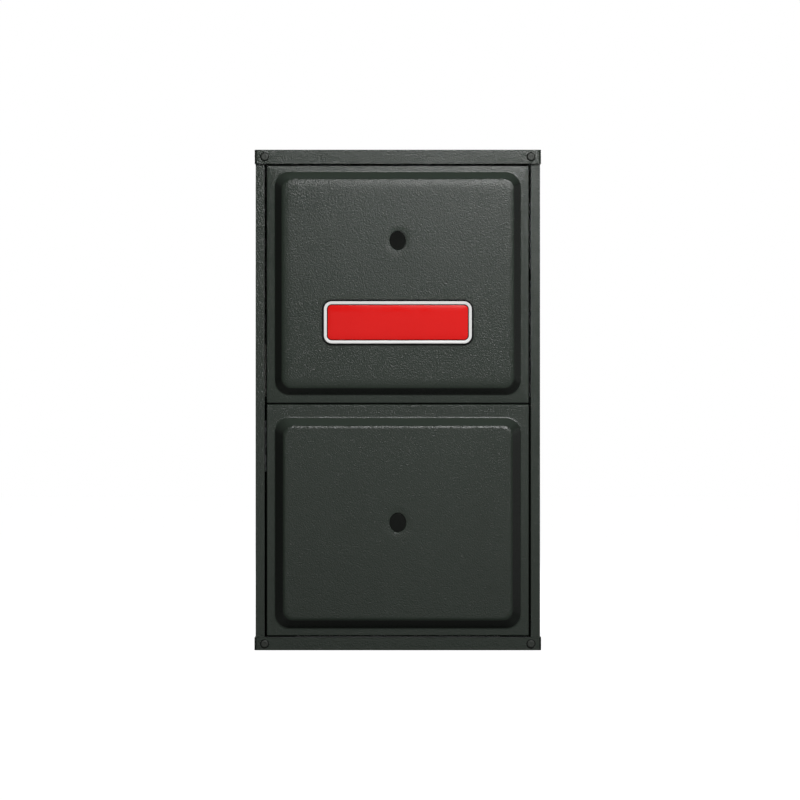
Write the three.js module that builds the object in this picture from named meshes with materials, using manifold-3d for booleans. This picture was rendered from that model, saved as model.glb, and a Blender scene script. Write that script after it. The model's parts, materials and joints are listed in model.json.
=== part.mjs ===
// Forced air gas furnace: an upflow condensing furnace in a sheet-metal cabinet, standing on its base.
// Millimetres. X runs to the right seen from the front, the front faces -Y, and Z is up from the floor.
// The burner compartment is behind the upper door, the blower compartment behind the lower one.

import * as THREE from 'three';
import { mergeVertices } from 'three/addons/utils/BufferGeometryUtils.js';
import Module from 'manifold-3d';

const wasm = await Module();
wasm.setup();

// ---------------------------------------------------------------- driving dimensions

// Cabinet
const RAIL_WIDTH = 502;
const CABINET_HEIGHT = 876;
const CABINET_DEPTH = 722;        // from the rails' face to the back panel
const FIT = 0.3;                  // gap between two pieces that rest on or pass through each other
const SHEET = 1.2;
const RAIL_SHEET = 1.6;
const TOP_RAIL_HEIGHT = 24.5;
const BOTTOM_RAIL_HEIGHT = 22.5;
const RAIL_WRAP = 42;             // how far the rail ends run back along the cabinet sides
const RAIL_CORNER = 5;
const RAIL_PROUD = 8;             // the rails' face stands this far in front of the door rims
const STRIP_WIDTH = 16;           // front flange of a cabinet side
const STRIP_RETURN = 9;
const CORNER_TAB = 26;            // wider flange behind a rail, for its screw
const SUPPLY_FLANGE = 20;
const PANEL_FLANGE = 12;
const RETURN_BORDER = 58;         // base pan left around the return air opening
const RETURN_LIP = 8;
const VESTIBULE_DEPTH = 200;      // from the door rims to the vestibule panel
const DECK_SHARE = 0.492;         // height of the deck between the compartments, of the whole
const SIDE_RETURN_DEPTH = 530;    // the pressed outline of the side return on each side
const SIDE_RETURN_HEIGHT = 370;
const SIDE_RETURN_BACK = 34;
const SIDE_RETURN_RAISED = 0.6;

// Rail screws
const SCREW_INSET = 17.9;
const SCREW_HEAD = 7.8;
const SCREW_HEAD_RISE = 2.6;
const SCREW_SHANK = 2.4;
const SCREW_GRIP = 5;             // shank past the innermost sheet

// Doors
const DOOR_SIDE_GAP = 2.6;
const DOOR_GAP = 0.8;
const DOOR_RETURN = 12;
const DOOR_CORNER = 3;
const EMBOSS_DEPTH = 12;
const EMBOSS_SLOPE = 12;
const EMBOSS_CORNER = 26;
const EMBOSS_SIDE_RIM = 13.5;
const UPPER_RIM = 13.5;
const LOWER_TOP_RIM = 21.5;
const LOWER_BOTTOM_RIM = 13;
const SIGHT_WIDTH = 27.3;
const SIGHT_HEIGHT = 33;
const SIGHT_FLANGE = 4;
const SIGHT_THICK = 3;
const UPPER_SIGHT_DROP = 134;     // below the upper door's top edge
const LOWER_SIGHT_RISE = 200;     // above the lower door's bottom edge
const BADGE_WIDTH = 261;
const BADGE_HEIGHT = 76;
const BADGE_THICK = 3.5;
const BADGE_RIM = 5.5;
const BADGE_CORNER = 15;
const BADGE_RECESS = 0.8;
const BADGE_DROP = 277;

// Heat exchanger
const TUBE_RADIUS = 21;
const TUBE_WALL = 1.5;
const EXCHANGER_SIDE_GAP = 99.6;  // from the coil's sides to the cabinet's lining
const TUBE_FRONT_GAP = 14;        // from the vestibule panel back to the front bends
const TUBE_SPLIT = 29;            // from the coil up to the lowest pass
const COIL_RISE = 31;             // above the blower deck
const COIL_HEIGHT = 83;
const COIL_FIN_PITCH = 16;
const COIL_FIN = 3;
const COIL_FIN_DEPTH = 12;
const COIL_END = 6;
const HEADER_DEPTH = 44;
const HEADER_BACK_GAP = 17.2;
const HEADER_MARGIN = 14;

// Burners and gas train
const BURNER_DROP = 141;          // burner axis below the cabinet's top
const BURNER_BOX_DEPTH = 100;
const BURNER_BOX_BELOW = 45;
const BURNER_BOX_ABOVE = 40;
const BURNER_BOX_SIDE = 32;       // past the outer burners' axes
const BURNER_LENGTH = 84;
const BURNER_THROAT = 9;
const BURNER_MOUTH = 14;
const BURNER_FLANGE = 20;
const BURNER_WALL = 1.5;
const GAS_PIPE_RADIUS = 10.6;
const MANIFOLD_REACH = 35;        // manifold axis in front of the burner box
const SPUD_RADIUS = 5;
const VALVE_WIDTH = 62;
const VALVE_DEPTH = 58;
const VALVE_HEIGHT = 62;
const VALVE_COVER = 22;
const GAS_STUB = 26;
const KNOB_RADIUS = 11;
const KNOB_HEIGHT = 13;
const KNOB_STEM = 3;
const KNOB_STEM_DEPTH = 8;
const IGNITER_LENGTH = 62;
const SWITCH_RADIUS = 12;
const SWITCH_HEIGHT = 13;
const BUTTON_RADIUS = 2.6;
const BUTTON_RISE = 4;
const ROLLOUT_INSET = 52;

// Draft inducer, vent and combustion air
const COLLECTOR_MARGIN = 2;       // past the coil's left side
const COLLECTOR_PAST_INDUCER = 81;
const COLLECTOR_DEPTH = 35;
const COLLECTOR_WALL = 3;
const COLLECTOR_BELOW = 7;
const COLLECTOR_HEIGHT = 190;
const INDUCER_RISE = 98;          // inducer axis above the coil's underside
const INDUCER_DEPTH = 54;
const INDUCER_WALL = 3;
const INDUCER_TONGUE = 66;
const INDUCER_FULL = 113;
const INDUCER_OUTLET = 52;
const INDUCER_TOP = 92;
const INDUCER_EYE = 30;
const INDUCER_WHEEL = 58;
const INDUCER_BLADE = 26;
const INDUCER_BLADES = 10;
const INDUCER_SHAFT = 4;
const INDUCER_MOTOR = 45;
const INDUCER_MOTOR_LENGTH = 66;
const VENT_RADIUS = 30;
const VENT_WALL = 4;
const VENT_SOCKET = 18;
const VENT_SIDE_GAP = 15.6;
const AIR_PIPE_X = -56;
const AIR_PIPE_FLANGE = 40;
const HOSE_RADIUS = 4;
const NIPPLE_RADIUS = 3;
const DIAPHRAGM_RADIUS = 34;
const DIAPHRAGM_DEPTH = 24;

// Condensate drain
const TRAP_WIDTH = 48;
const TRAP_DEPTH = 90;
const TRAP_HEIGHT = 104;
const TRAP_WALL = 2.5;
const DRAIN_RADIUS = 9;

// Blower
const BLOWER_Y = 60;
const BLOWER_DROP = 206;          // wheel axis below the deck
const BLOWER_WIDTH = 236;
const BLOWER_TONGUE = 142;
const BLOWER_FULL = 190;
const BLOWER_TONGUE_ANGLE = 115;
const BLOWER_EYE = 106;
const BLOWER_FLANGE = 16;
const WHEEL_RADIUS = 127;
const WHEEL_WIDTH = 203;
const WHEEL_BLADES = 24;
const WHEEL_RING = 15;
const WHEEL_HUB = 18;
const WHEEL_HUB_LENGTH = 34;
const BLOWER_SHAFT = 6.35;
const MOTOR_RADIUS = 70;
const MOTOR_LENGTH = 118;
const MOTOR_SOCKET = 20;          // length of shaft inside the motor's nose
const BELLY_BAND = 3;
const BELLY_BAND_WIDTH = 22;
const MOUNT_ARM = 12;

// Controls
const CONTROL_PLATE_WIDTH = 260;
const CONTROL_PLATE_HEIGHT = 300;
const CONTROL_SETBACK = 150;      // from the door rims
const BOARD_WIDTH = 186;
const BOARD_HEIGHT = 150;
const BOARD_STANDOFF = 8;
const BOARD_THICK = 1.6;
const BOARD_TALLEST = 20;         // the highest component on the board
const CONTROL_TOP_FLANGE = 30;
const TRANSFORMER_INSET = 22;
const TRANSFORMER = { width: 64, height: 56, depth: 50 };
const JUNCTION = { width: 46, depth: 84, height: 90 };
const KNOCKOUT_RADIUS = 11;
const DOOR_SWITCH = { width: 22, depth: 34, height: 26 };
const DOOR_SWITCH_X = 150;
const PLUNGER_RADIUS = 3;
const PLUNGER_INSIDE = 18;

// ---------------------------------------------------------------- places that follow from them

const TOTAL_DEPTH = CABINET_DEPTH - RAIL_PROUD + EMBOSS_DEPTH + FIT + BADGE_THICK;
const BACK_Y = TOTAL_DEPTH / 2;
const RAIL_Y = BACK_Y - CABINET_DEPTH;
const FACE_Y = RAIL_Y + RAIL_PROUD;
const VESTIBULE_Y = FACE_Y + VESTIBULE_DEPTH;
const SIDE_X = RAIL_WIDTH / 2 - RAIL_SHEET - FIT;
const INNER_X = SIDE_X - SHEET - FIT;
const SIDE_BACK_Y = BACK_Y - SHEET - FIT;
const INNER_BACK_Y = SIDE_BACK_Y - SHEET - FIT;
const INNER_FRONT_Y = FACE_Y + SHEET + FIT;
const SIDE_TOP_Z = CABINET_HEIGHT - RAIL_SHEET - FIT;
const TOP_RAIL_Z = CABINET_HEIGHT - TOP_RAIL_HEIGHT;

const DOOR_WIDTH = 2 * (SIDE_X - STRIP_WIDTH - DOOR_SIDE_GAP);
const DECK_Z = Math.round(DECK_SHARE * CABINET_HEIGHT);
const LOWER_DOOR_Z = BOTTOM_RAIL_HEIGHT + DOOR_GAP;
const LOWER_DOOR_HEIGHT = DECK_Z - DOOR_GAP / 2 - LOWER_DOOR_Z;
const UPPER_DOOR_Z = DECK_Z + DOOR_GAP / 2;
const UPPER_DOOR_HEIGHT = TOP_RAIL_Z - DOOR_GAP - UPPER_DOOR_Z;

const DECK_FRONT_Y = FACE_Y + DOOR_RETURN + 2;
const COIL_Z = DECK_Z + COIL_RISE;
const COIL_TOP_Z = COIL_Z + COIL_HEIGHT;
const LOW_PASS_Z = COIL_TOP_Z + TUBE_SPLIT + TUBE_RADIUS;
const BURNER_Z = CABINET_HEIGHT - BURNER_DROP;
const TUBE_BEND = (BURNER_Z - LOW_PASS_Z) / 4;
const COIL_HALF = INNER_X - EXCHANGER_SIDE_GAP;
const TUBE_PITCH = COIL_HALF / 2;
const TUBE_XS = [-1.5, -0.5, 0.5, 1.5].map((step) => step * TUBE_PITCH);
const HEADER_Y = INNER_BACK_Y - HEADER_BACK_GAP - HEADER_DEPTH;
const COIL_LENGTH = HEADER_Y - VESTIBULE_Y - SHEET - 2 * FIT;
const BURNER_BOX_HALF = 1.5 * TUBE_PITCH + BURNER_BOX_SIDE;
const BURNER_BOX_BACK_Y = VESTIBULE_Y - FIT;
const BURNER_BOX_Y = BURNER_BOX_BACK_Y - BURNER_BOX_DEPTH;
const BURNER_BOX_TOP_Z = BURNER_Z + BURNER_BOX_ABOVE;
const MANIFOLD_Y = BURNER_BOX_Y - MANIFOLD_REACH;
const VALVE_X = -SIDE_X + GAS_STUB;
const VALVE_FRONT_Y = MANIFOLD_Y - VALVE_DEPTH / 2;

const VENT_X = INNER_X - VENT_SIDE_GAP - VENT_RADIUS;
const INDUCER_X = VENT_X - INDUCER_FULL + INDUCER_OUTLET / 2;
const COLLECTOR_LEFT = COIL_HALF + COLLECTOR_MARGIN;
const COLLECTOR_RIGHT = INDUCER_X + COLLECTOR_PAST_INDUCER;
const COLLECTOR_BACK_Y = VESTIBULE_Y - FIT;
const COLLECTOR_Y = COLLECTOR_BACK_Y - COLLECTOR_DEPTH;
const COLLECTOR_Z = COIL_Z - COLLECTOR_BELOW;
const INDUCER_Z = COIL_Z + INDUCER_RISE;
const INDUCER_Y = COLLECTOR_Y - FIT;
const VENT_Y = INDUCER_Y - INDUCER_DEPTH / 2;
const PRESSURE_X = -COLLECTOR_LEFT - DIAPHRAGM_RADIUS - 9;
const PRESSURE_Z = COLLECTOR_Z + COLLECTOR_HEIGHT / 2;
const PIPE_TOP_Z = CABINET_HEIGHT - 1;

const BLOWER_Z = DECK_Z - BLOWER_DROP;
const BLOWER_TOP = BLOWER_DROP - SHEET - FIT;
const CONTROL_Y = FACE_Y + CONTROL_SETBACK;
const BOARD_Z = LOWER_DOOR_Z + LOWER_SIGHT_RISE;

// ---------------------------------------------------------------- making solids

// A closed geometry as a solid that can be joined and cut.
function solid(geometry) {
  geometry.deleteAttribute('normal');
  geometry.deleteAttribute('uv');
  const welded = mergeVertices(geometry);
  return new wasm.Manifold(new wasm.Mesh({
    numProp: 3,
    vertProperties: new Float32Array(welded.attributes.position.array),
    triVerts: new Uint32Array(welded.index.array),
  }));
}

function join(solids) {
  return solids.reduce((whole, part) => whole.add(part));
}

function block([x0, x1], [y0, y1], [z0, z1]) {
  const geometry = new THREE.BoxGeometry(x1 - x0, y1 - y0, z1 - z0);
  geometry.translate((x0 + x1) / 2, (y0 + y1) / 2, (z0 + z1) / 2);
  return solid(geometry);
}

// A box of thin sheet, hollow inside.
function shell([x0, x1], [y0, y1], [z0, z1], wall) {
  const inside = block([x0 + wall, x1 - wall], [y0 + wall, y1 - wall], [z0 + wall, z1 - wall]);
  return block([x0, x1], [y0, y1], [z0, z1]).subtract(inside);
}

// An outline of [u, v] points pushed along an axis: (y, z) along x, (x, z) along y, (x, y) along z.
function prism(axis, outline, [from, to], holes = []) {
  const points = (list) => list.map(([u, v]) => new THREE.Vector2(u, v));
  const shape = new THREE.Shape(points(outline));
  shape.holes = holes.map((hole) => new THREE.Path(points(hole)));
  const geometry = new THREE.ExtrudeGeometry(shape, { depth: to - from, bevelEnabled: false });
  const x = new THREE.Vector3(1, 0, 0);
  const y = new THREE.Vector3(0, 1, 0);
  const z = new THREE.Vector3(0, 0, 1);
  if (axis === 'x') {
    geometry.applyMatrix4(new THREE.Matrix4().makeBasis(y, z, x)).translate(from, 0, 0);
  } else if (axis === 'y') {
    geometry.applyMatrix4(new THREE.Matrix4().makeBasis(x, z, y.negate())).translate(0, to, 0);
  } else {
    geometry.translate(0, 0, from);
  }
  return solid(geometry);
}

// A profile of [radius, distance along the axis] points turned about an axis through the origin.
function turned(axis, profile, segments = 16) {
  const geometry = new THREE.LatheGeometry(profile.map(([r, along]) => new THREE.Vector2(r, along)), segments);
  if (axis === 'x') geometry.rotateZ(-Math.PI / 2);
  if (axis === 'z') geometry.rotateX(Math.PI / 2);
  return solid(geometry);
}

function rod(axis, radius, [from, to], segments = 16) {
  return turned(axis, [[0, from], [radius, from], [radius, to], [0, to]], segments);
}

// The cutter for a round hole: its flats, and not its corners, lie at the radius.
function bore(axis, radius, span, segments = 16) {
  return rod(axis, radius / Math.cos(Math.PI / segments), span, segments);
}

function ring(axis, outer, inner, [from, to], segments = 16) {
  return turned(axis, [[inner, from], [outer, from], [outer, to], [inner, to], [inner, from]], segments);
}

function ovalOutline(width, height, count = 18) {
  return Array.from({ length: count }, (_, i) => {
    const angle = (i / count) * 2 * Math.PI;
    return [(width / 2) * Math.cos(angle), (height / 2) * Math.sin(angle)];
  });
}

// A rectangle about the origin with round corners, anticlockwise.
function roundedOutline(width, height, radius, steps = 3) {
  const points = [];
  [[1, 1], [-1, 1], [-1, -1], [1, -1]].forEach(([right, up], quarter) => {
    for (let step = 0; step <= steps; step += 1) {
      const angle = ((quarter + step / steps) * Math.PI) / 2;
      points.push([
        right * (width / 2 - radius) + radius * Math.cos(angle),
        up * (height / 2 - radius) + radius * Math.sin(angle),
      ]);
    }
  });
  return points;
}

// A closed skin through convex loops with the same number of points, listed from the lowest y to the highest.
function loft(loops) {
  const count = loops[0].length;
  const positions = loops.flat(2);
  const faces = [];
  for (let level = 0; level + 1 < loops.length; level += 1) {
    for (let i = 0; i < count; i += 1) {
      const next = (i + 1) % count;
      const a = level * count + i;
      const b = level * count + next;
      faces.push(a, a + count, b, b, a + count, b + count);
    }
  }
  const last = (loops.length - 1) * count;
  for (let i = 1; i + 1 < count; i += 1) {
    faces.push(0, i, i + 1);
    faces.push(last, last + i + 1, last + i);
  }
  const geometry = new THREE.BufferGeometry();
  geometry.setAttribute('position', new THREE.Float32BufferAttribute(positions, 3));
  geometry.setIndex(faces);
  return solid(geometry);
}

// The run of a pipe: straight between its corners, with a round bend at each one.
class PipeRun extends THREE.Curve {
  constructor(corners, bend, bendSteps) {
    super();
    this.stations = [];
    const points = corners.map((corner) => new THREE.Vector3(...corner));
    this.addStation(points[0], points[1].clone().sub(points[0]).normalize());
    for (let i = 1; i + 1 < points.length; i += 1) {
      this.addBend(points[i - 1], points[i], points[i + 1], bend, bendSteps);
    }
    const end = points[points.length - 1];
    this.addStation(end, end.clone().sub(points[points.length - 2]).normalize());
  }

  addStation(point, tangent) {
    const previous = this.stations[this.stations.length - 1];
    if (previous && previous.point.distanceTo(point) < 1e-3) return;
    this.stations.push({ point: point.clone(), tangent: tangent.clone() });
  }

  addBend(before, corner, after, bend, bendSteps) {
    const inward = corner.clone().sub(before).normalize();
    const outward = after.clone().sub(corner).normalize();
    const turn = inward.angleTo(outward);
    const setback = bend * Math.tan(turn / 2);
    const start = corner.clone().addScaledVector(inward, -setback);
    const side = outward.clone().addScaledVector(inward, -outward.dot(inward)).normalize();
    for (let step = 0; step <= bendSteps; step += 1) {
      const angle = (turn * step) / bendSteps;
      const point = start.clone()
        .addScaledVector(inward, bend * Math.sin(angle))
        .addScaledVector(side, bend * (1 - Math.cos(angle)));
      const tangent = inward.clone().multiplyScalar(Math.cos(angle)).addScaledVector(side, Math.sin(angle));
      this.addStation(point, tangent);
    }
  }

  getPointAt(u) {
    return this.stations[Math.round(u * (this.stations.length - 1))].point.clone();
  }

  getTangentAt(u) {
    return this.stations[Math.round(u * (this.stations.length - 1))].tangent.clone();
  }
}

function pipe(corners, bend, outer, inner, sides = 10, bendSteps = 2) {
  const run = new PipeRun(corners, bend, bendSteps);
  const circle = (radius) => ovalOutline(2 * radius, 2 * radius, sides).map(([u, v]) => new THREE.Vector2(u, v));
  const section = new THREE.Shape(circle(outer));
  if (inner > 0) section.holes = [new THREE.Path(circle(inner))];
  return solid(new THREE.ExtrudeGeometry(section, { steps: run.stations.length - 1, extrudePath: run }));
}

// The spiral of a fan housing about its wheel's axis, with the outlet pointing up on the positive side.
// wall moves the whole outline outwards by a sheet's thickness.
function scrollOutline(tongue, full, tongueAngle, top, wall, steps) {
  const startAngle = THREE.MathUtils.degToRad(tongueAngle);
  const throat = tongue * Math.cos(startAngle) - wall;
  const start = Math.acos(throat / (tongue + wall));
  const points = [];
  for (let step = 0; step <= steps; step += 1) {
    const angle = start + ((2 * Math.PI - start) * step) / steps;
    const grown = (angle - startAngle) / (2 * Math.PI - startAngle);
    const radius = tongue + (full - tongue) * grown + wall;
    points.push([radius * Math.cos(angle), radius * Math.sin(angle)]);
  }
  points.push([full + wall, top]);
  points.push([points[0][0], top]);
  return points;
}

function piece(name, shape, [colour, roughness, metalness]) {
  const mesh = shape.getMesh();
  const geometry = new THREE.BufferGeometry();
  geometry.setAttribute('position', new THREE.BufferAttribute(new Float32Array(mesh.vertProperties), 3));
  geometry.setIndex(new THREE.BufferAttribute(new Uint32Array(mesh.triVerts), 1));
  geometry.computeVertexNormals();
  const made = new THREE.Mesh(geometry, new THREE.MeshStandardMaterial({ color: colour, roughness, metalness }));
  made.name = name;
  return made;
}

function assembly(position, pieces) {
  const group = new THREE.Group();
  group.position.set(...position);
  group.add(...pieces);
  return group;
}

// Finishes: colour, roughness, metalness
const POWDER_COAT = [0x43484a, 0.55, 0.1];
const DARK_GLASS = [0x161817, 0.25, 0];
const BADGE_RED = [0xdf2322, 0.35, 0];
const GALVANIZED = [0xa9aeb0, 0.45, 0.85];
const ALUMINIZED = [0x8f9290, 0.5, 0.8];
const ALUMINIUM = [0xc3c6c8, 0.4, 0.9];
const STEEL = [0x9a9ea1, 0.35, 0.9];
const BLACK_PIPE = [0x2b2b2a, 0.6, 0.4];
const BLACK_PLASTIC = [0x202122, 0.5, 0];
const GREY_PLASTIC = [0x6b6f72, 0.55, 0];
const WHITE_PLASTIC = [0xe4e3dc, 0.45, 0];
const RED_PLASTIC = [0xb8261d, 0.45, 0];
const MOTOR_ENAMEL = [0x1d2022, 0.45, 0.3];
const RUBBER = [0x191919, 0.8, 0];
const CIRCUIT_BOARD = [0x1f5a34, 0.5, 0];
const CERAMIC = [0xd9d4c4, 0.6, 0];

// ---------------------------------------------------------------- cabinet

// A bent-up front rail whose ends wrap round the cabinet sides. The origin is at the middle of its face, at its
// bottom edge. capDepth is how far its top flange runs back.
function railShape(height, capDepth) {
  const plan = (inset, back) => {
    const half = RAIL_WIDTH / 2 - inset;
    const radius = RAIL_CORNER - inset;
    const corner = (side) => [0, 1, 2, 3, 4].map((step) => {
      const angle = (step / 4) * (Math.PI / 2);
      return [side * (half - radius + radius * Math.sin(angle)), inset + radius - radius * Math.cos(angle)];
    });
    return [[-half, back], ...corner(-1).reverse(), ...corner(1), [half, back]];
  };
  const shortFlange = RAIL_PROUD - FIT;
  const inner = plan(RAIL_SHEET, RAIL_WRAP + 1);
  const across = [-SIDE_X - FIT, SIDE_X + FIT];
  const holes = [-1, 1].map((side) => bore('y', SCREW_SHANK + FIT, [-1, RAIL_SHEET + 1])
    .translate([side * (RAIL_WIDTH / 2 - SCREW_INSET), 0, height / 2]));
  let rail = prism('z', plan(0, RAIL_WRAP), [0, height])
    .subtract(prism('z', inner, [RAIL_SHEET, height - RAIL_SHEET]))
    .subtract(block(across, [shortFlange, RAIL_WRAP + 1], [-1, RAIL_SHEET + 1]));
  if (capDepth < RAIL_WRAP) {
    rail = rail.subtract(block(across, [capDepth, RAIL_WRAP + 1], [height - RAIL_SHEET - 1, height + 1]));
  }
  return rail.subtract(join(holes));
}

// A truss-head screw with a shallow round recess, its axis along Y and its seat at the origin.
function railScrewShape() {
  const length = RAIL_PROUD + 2 * SHEET + FIT + SCREW_GRIP;
  const recess = 0.55 * SCREW_HEAD;
  return turned('y', [
    [0, -SCREW_HEAD_RISE + 0.8],
    [recess - 0.4, -SCREW_HEAD_RISE + 0.8],
    [recess, -SCREW_HEAD_RISE],
    [0.85 * SCREW_HEAD, -SCREW_HEAD_RISE + 0.2],
    [SCREW_HEAD, -0.45 * SCREW_HEAD_RISE],
    [SCREW_HEAD, 0],
    [SCREW_SHANK, 0],
    [SCREW_SHANK, length - SCREW_SHANK],
    [0, length],
  ], 12);
}

function railScrewHoles(depth) {
  return join([-1, 1].flatMap((side) => [BOTTOM_RAIL_HEIGHT / 2, CABINET_HEIGHT - TOP_RAIL_HEIGHT / 2].map(
    (z) => bore('y', SCREW_SHANK + FIT, [FACE_Y - 1, FACE_Y + depth])
      .translate([side * (RAIL_WIDTH / 2 - SCREW_INSET), 0, z]),
  )));
}

// One cabinet side: a tall panel with front, rear and supply flanges, and the place of the side return pressed
// outwards. hand is -1 on the left and 1 on the right.
function cabinetSideShape(hand, holes) {
  const across = (inset, width) => {
    const outer = SIDE_X - inset;
    return hand < 0 ? [-outer, -outer + width] : [outer - width, outer];
  };
  const tab = (span) => block(across(0, CORNER_TAB), [FACE_Y, FACE_Y + SHEET], span);
  const shape = join([
    block(across(0, SHEET), [FACE_Y, SIDE_BACK_Y], [0, SIDE_TOP_Z]),
    block(across(0, STRIP_WIDTH), [FACE_Y, FACE_Y + SHEET], [0, SIDE_TOP_Z]),
    block(across(STRIP_WIDTH - SHEET, SHEET), [FACE_Y, FACE_Y + STRIP_RETURN],
      [BOTTOM_RAIL_HEIGHT + 2, TOP_RAIL_Z - 2]),
    tab([0, BOTTOM_RAIL_HEIGHT - 1]),
    tab([TOP_RAIL_Z + 1, SIDE_TOP_Z]),
    block(across(0, STRIP_WIDTH), [SIDE_BACK_Y - SHEET, SIDE_BACK_Y], [0, SIDE_TOP_Z]),
    block(across(0, SUPPLY_FLANGE), [VESTIBULE_Y + SHEET + FIT, SIDE_BACK_Y], [SIDE_TOP_Z - SHEET, SIDE_TOP_Z]),
  ]);
  const returnBack = INNER_BACK_Y - SIDE_RETURN_BACK;
  const returnDeep = [returnBack - SIDE_RETURN_DEPTH, returnBack];
  const returnTall = [LOWER_DOOR_Z + PANEL_FLANGE, LOWER_DOOR_Z + PANEL_FLANGE + SIDE_RETURN_HEIGHT];
  const raised = block(across(-SIDE_RETURN_RAISED, SHEET), returnDeep, returnTall);
  const hollow = block(across(SHEET - SIDE_RETURN_RAISED, SHEET), returnDeep, returnTall);
  const cutters = holes.map(({ y, z, radius }) => bore('x', radius, [-RAIL_WIDTH, 0]).translate([0, y, z]));
  return [hollow, railScrewHoles(SHEET + 1), ...cutters]
    .reduce((cut, hole) => cut.subtract(hole), shape.add(raised));
}

function cabinetBackShape() {
  const flangeHalf = SIDE_X - SUPPLY_FLANGE - FIT;
  return block([-SIDE_X, SIDE_X], [BACK_Y - SHEET, BACK_Y], [0, SIDE_TOP_Z])
    .add(block([-flangeHalf, flangeHalf], [BACK_Y - SUPPLY_FLANGE, BACK_Y], [SIDE_TOP_Z - SHEET, SIDE_TOP_Z]));
}

// The floor of the cabinet: a pan with turned-up edges round the return air opening.
function basePanShape() {
  const lip = LOWER_DOOR_Z - FIT;
  const opening = [[-INNER_X + RETURN_BORDER, INNER_X - RETURN_BORDER],
    [INNER_FRONT_Y + RETURN_BORDER, INNER_BACK_Y - RETURN_BORDER]];
  const across = [-INNER_X, INNER_X];
  const deep = [INNER_FRONT_Y, INNER_BACK_Y];
  const inside = ([from, to]) => [from + SHEET, to - SHEET];
  const rim = block(opening[0], opening[1], [0, RETURN_LIP])
    .subtract(block(inside(opening[0]), inside(opening[1]), [-1, RETURN_LIP + 1]));
  return block(across, deep, [0, lip])
    .subtract(block(inside(across), inside(deep), [SHEET, lip + 1]))
    .subtract(block(opening[0], opening[1], [-1, SHEET + 1]))
    .add(rim)
    .subtract(railScrewHoles(2 * SHEET + FIT + 1));
}

function topPlateShape() {
  const top = SIDE_TOP_Z;
  const across = [-INNER_X, INNER_X];
  const plate = join([
    block(across, [INNER_FRONT_Y, VESTIBULE_Y + SHEET], [top - SHEET, top]),
    block(across, [INNER_FRONT_Y, INNER_FRONT_Y + SHEET], [TOP_RAIL_Z, top]),
  ]);
  const hole = (x, y) => bore('z', VENT_RADIUS + FIT, [top - 2 * SHEET, top + 1], 24).translate([x, y, 0]);
  return plate
    .subtract(hole(VENT_X, VENT_Y))
    .subtract(hole(AIR_PIPE_X, VENT_Y))
    .subtract(railScrewHoles(2 * SHEET + FIT + 1));
}

// The shelf between the two compartments, with the blower's discharge opening.
function blowerDeckShape() {
  const outlet = blowerOutlet(0);
  return join([
    block([-INNER_X, INNER_X], [DECK_FRONT_Y, INNER_BACK_Y], [DECK_Z - SHEET, DECK_Z]),
    block([-INNER_X, INNER_X], [DECK_FRONT_Y, DECK_FRONT_Y + SHEET], [DECK_Z - SHEET, DECK_Z + PANEL_FLANGE]),
    block([-INNER_X, -INNER_X + SHEET], [DECK_FRONT_Y, INNER_BACK_Y], [DECK_Z - PANEL_FLANGE, DECK_Z]),
    block([INNER_X - SHEET, INNER_X], [DECK_FRONT_Y, INNER_BACK_Y], [DECK_Z - PANEL_FLANGE, DECK_Z]),
  ]).subtract(block(outlet.x, outlet.y, [DECK_Z - 2 * SHEET, DECK_Z + 1]));
}

// The wall between the burner compartment and the heat exchanger.
function vestibulePanelHoles() {
  const span = [VESTIBULE_Y - 1, VESTIBULE_Y + SHEET + 1];
  const tubes = TUBE_XS.map((x) => bore('y', TUBE_RADIUS + FIT, span).translate([x, 0, BURNER_Z]));
  const coilFace = block([-COIL_HALF + 8, COIL_HALF - 8], span, [COIL_Z + 8, COIL_TOP_Z - 8]);
  const probe = bore('y', SWITCH_RADIUS - 4, span).translate([PRESSURE_X, 0, limitSwitchZ()]);
  return [...tubes, coilFace, probe];
}

function vestibulePanelShape() {
  const tall = [DECK_Z + FIT, SIDE_TOP_Z - SHEET - FIT];
  const panel = join([
    block([-INNER_X, INNER_X], [VESTIBULE_Y, VESTIBULE_Y + SHEET], tall),
    block([-INNER_X, -INNER_X + SHEET], [VESTIBULE_Y, VESTIBULE_Y + PANEL_FLANGE], tall),
    block([INNER_X - SHEET, INNER_X], [VESTIBULE_Y, VESTIBULE_Y + PANEL_FLANGE], tall),
  ]);
  const supplyFlanges = block([-SIDE_X, SIDE_X], [VESTIBULE_Y + SHEET, VESTIBULE_Y + PANEL_FLANGE + 1],
    [SIDE_TOP_Z - SHEET - 2, SIDE_TOP_Z]);
  return vestibulePanelHoles().reduce((cut, hole) => cut.subtract(hole), panel.subtract(supplyFlanges));
}

// ---------------------------------------------------------------- doors

// The levels of a pressed panel: an outline that draws in as it rises. y is the rim's face.
function raisedLevels(width, height, inset, setBack) {
  const steps = 4;
  return Array.from({ length: steps + 1 }, (_, i) => {
    const along = 1 - i / steps;
    const shrink = inset + EMBOSS_SLOPE * along;
    const rise = (EMBOSS_DEPTH * (1 - Math.cos(Math.PI * along))) / 2;
    return roundedOutline(width - 2 * shrink, height - 2 * shrink, EMBOSS_CORNER - shrink / 2)
      .map(([x, z]) => [x, setBack - rise, z]);
  });
}

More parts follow.
